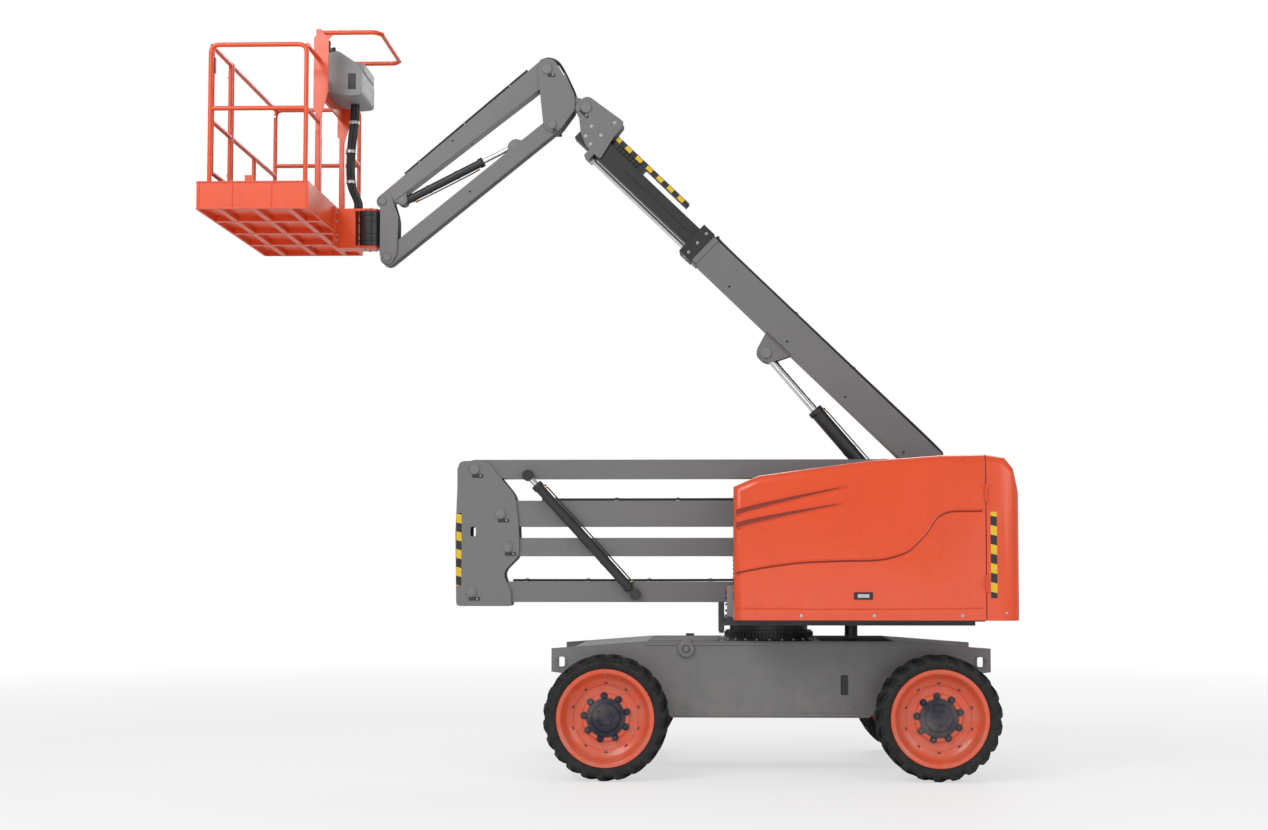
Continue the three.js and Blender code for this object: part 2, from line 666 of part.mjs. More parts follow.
function noseGeometry() {
  const low = fly.z - fly.depth / 2;
  const high = fly.z + fly.depth / 2;
  const cheeks = [-1, 1].map((s) => plate([
    [fly.tip + 260, low + 10, 20], [fly.tip + 120, low + 4, 30], [fly.tip + 10, low + 55, 20],
    [nosePin.x, nosePin.z - 80, 20], [nosePin.x - 70, nosePin.z - 60, 60],
    [nosePin.x - 70, nosePin.z + 75, 60], [nosePin.x + 60, nosePin.z + 90, 50],
    [fly.tip + 200, high + 190, 30], [fly.tip + 215, high + 60, 30],
  ], [s * cheekInner, s * cheekOuter]));
  const cap = block([fly.tip + 60, fly.tip + 195], [-cheekOuter + 1, cheekOuter - 1], [high + 45, high + 165]);
  const { blockFront, blockRear } = extensionRod;
  const rodBlock = block([blockFront, blockRear], [-cheekOuter + 1, cheekOuter - 1],
    [extensionRod.z - 24, low - FACE_GAP]);
  const seats = [-1, 1].map((s) => block([blockFront, blockRear], [s * (fly.halfWidth + 1), s * cheekOuter],
    [extensionRod.z - 24, low + 30]));
  return join(...cheeks, cap, rodBlock, ...seats);
}

function hoseTrayGeometry() {
  const { front, back, bottom, height, halfWidth, feet, footLength } = hoseTray;
  const top = fly.z + fly.depth / 2 + FACE_GAP;
  const trough = cut(
    block([front, back], [-halfWidth, halfWidth], [bottom, bottom + height]),
    block([front - 1, back + 1], [-halfWidth + 5, halfWidth - 5], [bottom + 5, bottom + height + 1]),
  );
  const stands = feet.map((x) =>
    block([x - footLength / 2, x + footLength / 2], [-halfWidth, halfWidth], [top, bottom + 1]));
  return join(trough, ...stands);
}

function addBoom() {
  const base = frameAt(machine, boomPivot.x, 0, boomPivot.z, boomAngle);
  add(base, 'boom_base', boomBaseGeometry(), grey);
  add(base, 'boom_mouth_collar', collarGeometry(), dark);
  add(base, 'boom_fly', flyGeometry(), dark);
  add(base, 'extension_rod',
    bar([extensionRod.blockRear + FACE_GAP, 0, extensionRod.z], [extensionRod.inner, 0, extensionRod.z], extensionRod.radius, 20),
    chrome);
  add(base, 'hose_tray', hoseTrayGeometry(), dark);
  add(base, 'boom_nose', noseGeometry(), grey);

  const lug = new THREE.Vector3(liftLug.x, 0, liftLug.z)
    .applyAxisAngle(new THREE.Vector3(0, 1, 0), boomAngle * DEGREE)
    .add(new THREE.Vector3(boomPivot.x - liftBase.x, 0, boomPivot.z - liftBase.z));
  const lift = Math.atan2(lug.z, -lug.x) / DEGREE;
  const group = frameAt(machine, liftBase.x, 0, liftBase.z, lift);
  add(group, 'lift_cylinder_barrel', openBarrel(liftCylinder), dark);
  add(group, 'lift_cylinder_rod', rodGeometry(liftCylinder, Math.hypot(lug.x, lug.z), liftCylinder.inside), chrome);
  return base;
}

// ---------------------------------------------------------------- jib

function knuckleBracketGeometry() {
  const k1 = [jibPin.x, jibPin.z];
  const k2 = [jibPin.x + jibLinkPin.x, jibPin.z + jibLinkPin.z];
  const outer = [-cheekOuter, cheekOuter];
  const cheeks = [-1, 1].map((s) => {
    const ys = [s * cheekInner, s * cheekOuter];
    return plate([
      [k1[0] - 50, k1[1] + 80, 60], [k1[0] + 50, k1[1] + 80, 50], [-90, 110, 30], [-85, -10, 20],
      [k2[0] + 65, k2[1] - 30, 40], [k2[0] + 10, k2[1] - 65, 50], [k2[0] - 65, k2[1] - 20, 50],
      [k1[0] - 70, k1[1] - 30, 50],
    ], ys);
  });
  const bridge = plate([
    [k1[0] + 130, k1[1] - 20, 20], [-92, 105, 20], [-92, 0, 20], [k2[0] + 95, k2[1] + 60, 20], [k2[0] + 90, k2[1] + 180],
  ], outer);
  const eye = barY(0, 0, nosePin.radius - 10, -armHalf, armHalf, 24);
  const neck = plate([[-110, 95], [0, 60], [0, -50], [-110, 5]], [-armHalf, armHalf]);
  return join(...cheeks, bridge, eye, neck);
}

function jibArmGeometry() {
  const { length, wall, endRadius } = jib;
  const ys = [-armHalf, armHalf];
  const high = jibPin.radius - 10;
  const body = cut(
    plate([[0, high], [0, -high], [-length, -endRadius], [-length, endRadius]], ys),
    plate([[-high, high - 2 * wall], [-high, -high + 2 * wall], [-length + endRadius, -endRadius - wall + 22],
      [-length + endRadius, endRadius + wall - 22]], [-armHalf + wall, armHalf - wall]),
    bar([-length / 2, 0, -120], [-length / 2, 0, 0], 12, 12),
  );
  const { base, lugInner, lugOuter } = jibCylinder;
  const lugs = [-1, 1].map((s) => plate([
    [base.x - 50, -40], [base.x - 30, base.z - 28, 28], [base.x + 30, base.z - 28, 28], [base.x + 60, -40],
  ], [s * lugInner, s * lugOuter]));
  return join(body, barY(0, 0, high, ...ys), barY(-length, 0, endRadius, ...ys), ...lugs);
}

// twin bars with a spacer near each pin
function jibLinkGeometry() {
  const { pin } = jibCylinder;
  const half = jib.linkDepth / 2;
  const bars = [-1, 1].map((s) => {
    const ys = [s * jib.linkInner, s * armHalf];
    return join(
      plate([[0, half], [0, -half], [-jib.length, -half], [-jib.length, half]], ys),
      barY(0, 0, half, ...ys, 20),
      barY(-jib.length, 0, half, ...ys, 20),
      plate([[pin.x - 70, half - 2], [pin.x - 30, pin.z + 30, 24], [pin.x + 30, pin.z + 30, 24], [pin.x + 70, half - 2]], ys),
    );
  });
  const spacers = [0, -jib.length].map((x) => barY(x, 0, 30, -jib.linkInner - 1, jib.linkInner + 1, 16));
  return join(...bars, ...spacers);
}

function platformBracketGeometry() {
  const { x, z } = jibLinkPin;
  const cheeks = [-1, 1].map((s) => plate([
    [-25, 60, 40], [60, 55, 40], [x + 75, -120, 40], [x + 72, z + 20, 50], [x + 10, z - 68, 50], [x - 62, z, 50],
    [-19, z + 90, 20], [-19, -60, 20],
  ], [s * cheekInner, s * cheekOuter]));
  const web = block([rotator.x + rotator.radius + FACE_GAP, 0], [-cheekOuter + 1, cheekOuter - 1], [rotator.bottom + 8, rotator.top - 12]);
  return join(...cheeks, web);
}

function addJib(boomFrame) {
  const nose = frameAt(boomFrame, nosePin.x, 0, nosePin.z, -boomAngle);
  add(nose, 'jib_knuckle', knuckleBracketGeometry(), grey);
  const arm = frameAt(nose, jibPin.x, 0, jibPin.z, -jib.angle);
  add(arm, 'jib_arm', jibArmGeometry(), grey);
  const lower = frameAt(nose, jibPin.x + jibLinkPin.x, 0, jibPin.z + jibLinkPin.z, -jib.angle);
  add(lower, 'jib_link', jibLinkGeometry(), grey);

  // the link frame is parallel to the arm frame, so only its origin differs
  const offset = new THREE.Vector3(jibLinkPin.x, 0, jibLinkPin.z)
    .applyAxisAngle(new THREE.Vector3(0, 1, 0), jib.angle * DEGREE);
  const { base, pin } = jibCylinder;
  const reach = [offset.x + pin.x - base.x, offset.z + pin.z - base.z];
  const tilt = Math.atan2(reach[1], -reach[0]) / DEGREE;
  const cylinder = frameAt(arm, base.x, 0, base.z, tilt);
  add(cylinder, 'jib_cylinder_barrel', openBarrel(jibCylinder), dark);
  add(cylinder, 'jib_cylinder_rod',
    rodGeometry(jibCylinder, Math.hypot(...reach), jibCylinder.inside), chrome);

  const level = frameAt(arm, -jib.length, 0, 0, jib.angle);
  add(level, 'platform_bracket', platformBracketGeometry(), grey);
  add(level, 'platform_rotator',
    bar([rotator.x, 0, rotator.bottom], [rotator.x, 0, rotator.top], rotator.radius, 28), dark);
  return level;
}

// ---------------------------------------------------------------- platform

function trayGeometry() {
  const { left, right, halfWidth, toeTop, toeBottom, sheet, plate: floor } = platform;
  const xs = [left + sheet, right - sheet];
  const ys = [-halfWidth + sheet, halfWidth - sheet];
  const ribs = [-0.5, 0, 0.5].map((share) =>
    block(xs, [share * halfWidth - 25, share * halfWidth + 25], [toeBottom, -floor + 1]));
  const tray = cut(
    block([left, right], [-halfWidth, halfWidth], [toeBottom, toeTop]),
    block(xs, ys, [0, toeTop + 1]),
    block(xs, ys, [toeBottom - 1, -floor]),
  );
  return join(tray, ...ribs);
}

const rail = (a, b) => bar(a, b, platform.tube, 8);

// a frame of tubes in one upright plane, from one corner post to the next
function sideRails(y) {
  const { postLeft, postRight, tube, topRail, midRail } = platform;
  return join(
    rail([postLeft, y, FACE_GAP], [postLeft, y, topRail]),
    rail([postRight, y, FACE_GAP], [postRight, y, topRail]),
    rail([postLeft - tube, y, topRail], [postRight + tube, y, topRail]),
    rail([postLeft, y, midRail], [postRight, y, midRail]),
  );
}

function frontRails() {
  const { postLeft, postY, gateY, tube, topRail, sideMidRail } = platform;
  const end = postY - tube - FACE_GAP;
  return join(
    rail([postLeft, gateY, FACE_GAP], [postLeft, gateY, topRail + tube]),
    rail([postLeft, gateY, topRail], [postLeft, end, topRail]),
    rail([postLeft, gateY, sideMidRail], [postLeft, end, sideMidRail]),
  );
}

function gateGeometry() {
  const { postLeft, postY, gateY, tube, topRail, sideMidRail } = platform;
  const hingeY = gateY - 2 * tube - 8;
  const latchY = -postY + 2 * tube + 8;
  const foot = 230;
  const knuckles = [foot + 60, topRail - 120].map((z) =>
    block([postLeft - 8, postLeft + 8], [hingeY, gateY - tube - 0.5], [z, z + 40]));
  return join(
    rail([postLeft, hingeY, foot - tube], [postLeft, hingeY, topRail + tube]),
    rail([postLeft, latchY, foot - tube], [postLeft, latchY, topRail + tube]),
    rail([postLeft, hingeY, topRail], [postLeft, latchY, topRail]),
    rail([postLeft, hingeY, sideMidRail], [postLeft, latchY, sideMidRail]),
    rail([postLeft, hingeY, foot], [postLeft, latchY, foot]),
    ...knuckles,
  );
}

function consoleFrameGeometry() {
  const { postRight, postY, tube, topRail, midRail } = platform;
  const { yNear, yFar, width, depth, top, reach, shelfBottom, shelfTop } = consoleFrame;
  const posts = [yNear, yFar].map((y) =>
    block([postRight - depth / 2, postRight + depth / 2], [y - width / 2, y + width / 2], [FACE_GAP, top + tube]));
  const spans = [[yNear, -postY], [yFar, postY]].flatMap(([from, to]) => {
    const end = to - Math.sign(to) * (tube + FACE_GAP);
    return [topRail, midRail].map((z) => rail([postRight, from, z], [postRight, end, z]));
  });
  return join(
    ...posts,
    ...spans,
    rail([postRight, yNear, top], [reach, yNear, top]),
    rail([postRight, yFar, top], [reach, yFar, top]),
    rail([reach, yNear - tube, top], [reach, yFar + tube, top]),
    block([postRight - 10, postRight + 10], [yNear, yFar], [shelfBottom, shelfTop]),
  );
}

function consoleGeometry() {
  const base = consoleFrame.shelfTop + FACE_GAP;
  const face = platform.postRight + 10 + FACE_GAP;
  return plate([
    [-345, base, 20], [-345, 1230, 20], [-200, 1275, 30], [-60, 1180, 20], [-15, 1130, 20],
    [-15, 940, 30], [-120, 930, 20], [face, 960], [face, base],
  ], [-300, 150]);
}

function yokeGeometry() {
  const back = platform.right + FACE_GAP;
  const axis = 0;
  const low = rotator.bottom - platform.floor;
  const high = rotator.top - platform.floor;
  const jaw = (z0, z1) => join(
    block([back, axis], [-75, 75], [z0, z1]),
    bar([axis, 0, z0], [axis, 0, z1], 78, 28),
  );
  const gussets = [-1, 1].map((s) =>
    block([back, back + 150], [s * 55, s * 75], [low - 18, high + 18]));
  return join(
    block([back, back + 20], [-160, 160], [low - 18, high + 18]),
    jaw(low - 18, low - FACE_GAP),
    jaw(high + FACE_GAP, high + 18),
    ...gussets,
  );
}

// the platform's hoses and control cable, clipped from the console down to the yoke
function hoseBundleGeometry() {
  const top = rotator.top - platform.floor + 18 + FACE_GAP;
  const points = [[-120, -40, 928], [-125, -40, 800], [-150, -30, 560], [-150, -10, 330], [-100, 0, 190], [-100, 0, top]];
  const path = new THREE.CatmullRomCurve3(points.map((p) => new THREE.Vector3(...p)));
  const section = new THREE.Shape().absarc(0, 0, 38, 0, 2 * Math.PI);
  return new THREE.ExtrudeGeometry(section, { steps: 16, curveSegments: 5, extrudePath: path });
}

function addPlatform(level) {
  const group = frameAt(level, rotator.x, 0, platform.floor);
  add(group, 'platform_tray', trayGeometry(), orange);
  add(group, 'rails_right', sideRails(-platform.postY), orange);
  add(group, 'rails_left', sideRails(platform.postY), orange);
  add(group, 'rails_front', frontRails(), orange);
  add(group, 'platform_gate', gateGeometry(), orange);
  add(group, 'console_frame', consoleFrameGeometry(), orange);
  add(group, 'platform_console', consoleGeometry(), plastic);
  add(group, 'platform_yoke', yokeGeometry(), orange);
  add(group, 'hose_bundle', hoseBundleGeometry(), rubber);
}

// ---------------------------------------------------------------- assembly

addUndercarriage();
addTurret();
addRiser();
addPlatform(addJib(addBoom()));

// the row's origin is under the middle of the whole machine, platform end to tail
const extent = new THREE.Box3().setFromObject(machine, true);
machine.position.x = -(extent.min.x + extent.max.x) / 2;

export default machine;
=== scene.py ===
import bpy
import bmesh
import json
import math
from mathutils import Matrix, Vector


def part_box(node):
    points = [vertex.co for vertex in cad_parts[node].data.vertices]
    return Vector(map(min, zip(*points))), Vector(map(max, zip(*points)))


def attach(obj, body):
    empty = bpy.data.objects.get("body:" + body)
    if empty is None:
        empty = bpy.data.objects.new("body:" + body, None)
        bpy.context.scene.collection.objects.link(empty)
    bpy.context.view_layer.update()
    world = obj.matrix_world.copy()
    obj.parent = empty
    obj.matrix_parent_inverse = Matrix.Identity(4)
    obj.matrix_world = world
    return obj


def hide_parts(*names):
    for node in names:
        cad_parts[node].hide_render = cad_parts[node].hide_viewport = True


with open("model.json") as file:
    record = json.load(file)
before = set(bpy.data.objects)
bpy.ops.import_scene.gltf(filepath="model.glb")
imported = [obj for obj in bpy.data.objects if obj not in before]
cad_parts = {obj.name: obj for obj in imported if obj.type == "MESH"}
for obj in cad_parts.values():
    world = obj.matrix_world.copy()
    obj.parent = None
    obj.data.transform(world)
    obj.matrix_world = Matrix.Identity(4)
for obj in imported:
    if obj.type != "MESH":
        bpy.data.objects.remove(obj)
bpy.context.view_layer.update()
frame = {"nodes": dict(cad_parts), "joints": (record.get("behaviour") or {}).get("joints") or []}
nodes = frame["nodes"]

# ---- places taken from the CAD

chassis_low, chassis_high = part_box("chassis_frame")
SHIFT = (chassis_low.x + chassis_high.x) / 2
JOINTS = {j["name"]: j for j in frame["joints"]}


def joint_at(name):
    return Vector(JOINTS[name]["pos_m"])


def turned_at(point, degrees):
    """A frame at point, pitched so that its -X end rises by that many degrees. Its units are mm."""
    scale = Matrix.Scale(0.001, 4)
    return Matrix.Translation(point) @ Matrix.Rotation(math.radians(degrees), 4, "Y") @ scale


WORLD = Matrix.Translation((SHIFT, 0, 0)) @ Matrix.Scale(0.001, 4)
BOOM = turned_at(joint_at("main_boom_lift"), 44)
NOSE = turned_at(joint_at("boom_levelling"), 0)
JIB = turned_at(joint_at("jib_lift"), -39)
JIB_LINK = turned_at(joint_at("jib_link_pivot"), -39)
LEVEL = turned_at(joint_at("platform_levelling"), 0)
tray_low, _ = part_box("platform_tray")
rotate_axis = joint_at("platform_rotate")
PLATFORM = Matrix.Translation((rotate_axis.x, 0, tray_low.z + 0.050)) @ Matrix.Scale(0.001, 4)

# ---- materials

ORANGE = (0.80, 0.076, 0.012)
GREY = (0.175, 0.173, 0.176)
BLACK = (0.018, 0.018, 0.020)
RUBBER = (0.008, 0.008, 0.0085)
YELLOW = (0.80, 0.52, 0.02)
DUST = (0.34, 0.30, 0.25)


class Nodes:
    """A material's node tree, built with short calls."""

    def __init__(self, name):
        self.material = bpy.data.materials.new(name)
        self.material.use_nodes = True
        self.tree = self.material.node_tree
        self.shader = self.tree.nodes["Principled BSDF"]
        self.coords = self.add("ShaderNodeTexCoord").outputs["Object"]

    def add(self, kind, **values):
        node = self.tree.nodes.new(kind)
        for key, value in values.items():
            setattr(node, key, value)
        return node

    def put(self, socket, value):
        if isinstance(value, bpy.types.NodeSocket):
            self.tree.links.new(value, socket)
        elif isinstance(value, tuple) and len(value) == 3 and len(socket.default_value) == 4:
            socket.default_value = (*value, 1)
        else:
            socket.default_value = value

    def set(self, name, value):
        self.put(self.shader.inputs[name], value)

    def noise(self, scale, detail=4, rough=0.6, stretch=None):
        node = self.add("ShaderNodeTexNoise")
        node.inputs["Scale"].default_value = scale
        node.inputs["Detail"].default_value = detail
        node.inputs["Roughness"].default_value = rough
        self.put(node.inputs["Vector"], self.stretched(stretch) if stretch else self.coords)
        return node.outputs["Fac"]

    def stretched(self, scale):
        node = self.add("ShaderNodeMapping")
        node.inputs["Scale"].default_value = scale
        self.put(node.inputs["Vector"], self.coords)
        return node.outputs["Vector"]

    def remap(self, value, low, high, to_low=0.0, to_high=1.0):
        node = self.add("ShaderNodeMapRange")
        for name, number in zip(("From Min", "From Max", "To Min", "To Max"), (low, high, to_low, to_high)):
            node.inputs[name].default_value = number
        self.put(node.inputs["Value"], value)
        return node.outputs["Result"]

    def math(self, kind, a, b=0.0):
        node = self.add("ShaderNodeMath", operation=kind)
        self.put(node.inputs[0], a)
        self.put(node.inputs[1], b)
        return node.outputs[0]

    def mix(self, factor, a, b):
        node = self.add("ShaderNodeMix", data_type="RGBA")
        self.put(node.inputs["Factor"], factor)
        self.put(node.inputs["A"], a)
        self.put(node.inputs["B"], b)
        return node.outputs["Result"]

    def height(self):
        node = self.add("ShaderNodeSeparateXYZ")
        self.put(node.inputs[0], self.coords)
        return node.outputs

    def relief(self, value, strength, distance, normal=None):
        node = self.add("ShaderNodeBump")
        node.inputs["Strength"].default_value = strength
        node.inputs["Distance"].default_value = distance
        self.put(node.inputs["Height"], value)
        if normal is not None:
            self.put(node.inputs["Normal"], normal)
        return node.outputs["Normal"]

    def soft_edges(self, radius):
        node = self.add("ShaderNodeBevel", samples=4)
        node.inputs["Radius"].default_value = radius
        return node.outputs["Normal"]

    def edge_mask(self, bevelled):
        """About 1 on edges and 0 on flats."""
        plain = self.add("ShaderNodeNewGeometry").outputs["Normal"]
        node = self.add("ShaderNodeVectorMath", operation="DOT_PRODUCT")
        self.put(node.inputs[0], bevelled)
        self.put(node.inputs[1], plain)
        return self.remap(node.outputs["Value"], 0.99, 0.80)


def painted(name, colour, rough=0.32, coat=0.35, worn=0.35, edge=0.004, dirt_top=1.1, peel=0.04):
    """Sprayed paint: orange peel, slow colour drift, chipped edges, dust that thickens towards the ground."""
    n = Nodes(name)
    drift = n.remap(n.noise(1.7, 3), 0.3, 0.7, 0.88, 1.10)
    varied = n.mix(drift, tuple(c * 0.55 for c in colour), colour)
    streaks = n.remap(n.noise(6, 5, 0.7, (1, 1, 0.12)), 0.52, 0.75, 0, 0.16)
    streaked = n.mix(streaks, varied, tuple(c * 0.6 for c in colour))
    low = n.remap(n.height()["Z"], dirt_top, 0.25, 0, 1)
    dusty = n.math("MULTIPLY", low, n.remap(n.noise(9, 6, 0.7), 0.35, 0.75, 0.02, 0.42))
    dusted = n.mix(dusty, streaked, DUST)
    bevelled = n.soft_edges(edge)
    chips = n.math("MULTIPLY", n.edge_mask(bevelled), n.remap(n.noise(38, 5, 0.75), 0.56, 0.66, 0, worn))
    n.set("Base Color", n.mix(chips, dusted, tuple(0.5 * c + 0.12 for c in colour)))
    n.set("Roughness", n.remap(n.noise(14, 5, 0.7), 0.3, 0.7, rough - 0.05, rough + 0.12))
    n.set("Metallic", 0.0)
    n.set("Coat Weight", coat)
    n.set("Coat Roughness", 0.12)
    n.set("Normal", n.relief(n.noise(260, 2, 0.5), peel, 0.0006, bevelled))
    return n.material


def rubbery(name, colour, rough=0.75, grain=180):
    n = Nodes(name)
    blotch = n.remap(n.noise(11, 6, 0.7), 0.35, 0.7)
    n.set("Base Color", n.mix(blotch, colour, tuple(c * 1.7 + 0.006 for c in colour)))
    n.set("Roughness", n.remap(n.noise(30, 4), 0.3, 0.7, rough - 0.1, rough + 0.12))
    n.set("Normal", n.relief(n.noise(grain, 4, 0.7), 0.25, 0.0008))
    return n.material


def polished(name, colour, rough, scratch=900):
    n = Nodes(name)
    n.set("Base Color", n.mix(n.remap(n.noise(20, 4), 0.3, 0.7), colour, tuple(c * 0.82 for c in colour)))
    n.set("Metallic", 1.0)
    n.set("Roughness", n.remap(n.noise(60, 5, 0.7, (1, 1, 6)), 0.3, 0.7, rough * 0.7, rough * 1.6))
    n.set("Normal", n.relief(n.noise(scratch, 2), 0.03, 0.0002))
    return n.material


def moulded(name, colour, rough=0.5):
    n = Nodes(name)
    n.set("Base Color", n.mix(n.remap(n.noise(5, 3), 0.3, 0.7), colour, tuple(c * 0.8 for c in colour)))
    n.set("Roughness", n.remap(n.noise(25, 3), 0.3, 0.7, rough - 0.06, rough + 0.1))
    n.set("Normal", n.relief(n.noise(520, 2), 0.12, 0.0005, n.soft_edges(0.006)))
    return n.material


def hazard(name, direction, period=0.085):
    """Yellow and black bars across direction, on scuffed film."""
    n = Nodes(name)
    dot = n.add("ShaderNodeVectorMath", operation="DOT_PRODUCT")
    n.put(dot.inputs[0], n.coords)
    dot.inputs[1].default_value = direction
    wave = n.math("FRACT", n.math("DIVIDE", dot.outputs["Value"], period))
    bar = n.math("GREATER_THAN", wave, 0.5)
    scuffed = n.mix(n.remap(n.noise(45, 6, 0.7), 0.5, 0.7, 0, 0.35), YELLOW, tuple(c * 0.55 for c in YELLOW))
    n.set("Base Color", n.mix(bar, scuffed, (0.02, 0.02, 0.021)))
    n.set("Roughness", n.remap(n.noise(22, 4), 0.3, 0.7, 0.35, 0.55))
    n.set("Normal", n.relief(n.noise(150, 3), 0.05, 0.0004))
    return n.material


def cast(name, colour):
    n = Nodes(name)
    rust = n.remap(n.noise(7, 7, 0.75), 0.52, 0.72, 0, 0.35)
    base = n.mix(rust, colour, (0.11, 0.055, 0.03))
    n.set("Base Color", n.mix(n.remap(n.noise(4, 5), 0.4, 0.7, 0, 0.35), base, DUST))
    n.set("Roughness", n.remap(n.noise(35, 5), 0.3, 0.7, 0.55, 0.85))
    n.set("Metallic", 0.25)
    n.set("Normal", n.relief(n.noise(140, 6, 0.75), 0.45, 0.0012, n.soft_edges(0.005)))
    return n.material


def expanded(name, colour):
    """Raised anti-slip pattern on a walked-on plate."""
    n = Nodes(name)
    turned = n.add("ShaderNodeMapping")
    turned.inputs["Rotation"].default_value = (0, 0, math.radians(45))
    turned.inputs["Scale"].default_value = (30, 14, 30)
    n.put(turned.inputs["Vector"], n.coords)
    cells = n.add("ShaderNodeTexVoronoi")
    cells.inputs["Scale"].default_value = 1.0
    cells.inputs["Randomness"].default_value = 0.0
    n.put(cells.inputs["Vector"], turned.outputs["Vector"])
    ribs = n.remap(cells.outputs["Distance"], 0.15, 0.35)
    n.set("Base Color", n.mix(ribs, tuple(c * 1.5 for c in colour), colour))
    n.set("Roughness", n.remap(n.noise(18, 5), 0.3, 0.7, 0.45, 0.7))
    n.set("Metallic", 0.3)
    n.set("Normal", n.relief(n.math("SUBTRACT", 1.0, ribs), 0.7, 0.003))
    return n.material


M = {
    "orange": painted("orange_paint", ORANGE, rough=0.30, coat=0.3, worn=0.3),
    "rim": painted("rim_paint", (0.78, 0.085, 0.02), rough=0.36, coat=0.3, worn=0.35, dirt_top=1.6),
    "grey": painted("grey_paint", GREY, rough=0.40, coat=0.2, worn=0.45),
    "black": painted("black_paint", BLACK, rough=0.42, coat=0.2, worn=0.5, edge=0.003),
    "tyre": rubbery("tyre_rubber", RUBBER),
    "hose": rubbery("hose_rubber", (0.012, 0.012, 0.013), rough=0.5, grain=420),
    "seal": rubbery("seal_rubber", (0.008, 0.008, 0.009), rough=0.6, grain=300),
    "chrome": polished("chrome_rod", (0.86, 0.87, 0.89), 0.10),
    # painted shade: a darker orange that stands in for the shade inside the hood's recessed grooves and along its style
    # crease
    "shade": painted("shaded_groove", (0.26, 0.024, 0.006), rough=0.45, coat=0.1, worn=0.0, edge=0.002),
    "pin": painted("pin_steel", (0.20, 0.20, 0.205), rough=0.42, coat=0.0, worn=0.5, edge=0.002),
    "steel": polished("zinc_steel", (0.55, 0.55, 0.57), 0.32),
    "plastic": moulded("grey_moulding", (0.31, 0.325, 0.33)),
    "knob": moulded("black_moulding", (0.02, 0.02, 0.022), 0.4),
    "red": moulded("red_button", (0.55, 0.01, 0.01), 0.3),
    "green": moulded("green_button", (0.02, 0.25, 0.05), 0.3),
    "iron": cast("cast_iron_parts", (0.045, 0.045, 0.048)),
    "hub": cast("hub_drive", (0.022, 0.026, 0.048)),
    "tread_plate": expanded("anti_slip_plate", (0.10, 0.10, 0.105)),
    "hazard_z": hazard("hazard_bars_upright", (0.25, 0.25, 1.0), 0.13),
    "hazard_boom": hazard("hazard_bars_boom", (-0.72, 0.3, 0.695), 0.11),
    "copper": polished("brass_fitting", (0.65, 0.45, 0.18), 0.3),
}

# ---- a maker for detail pieces


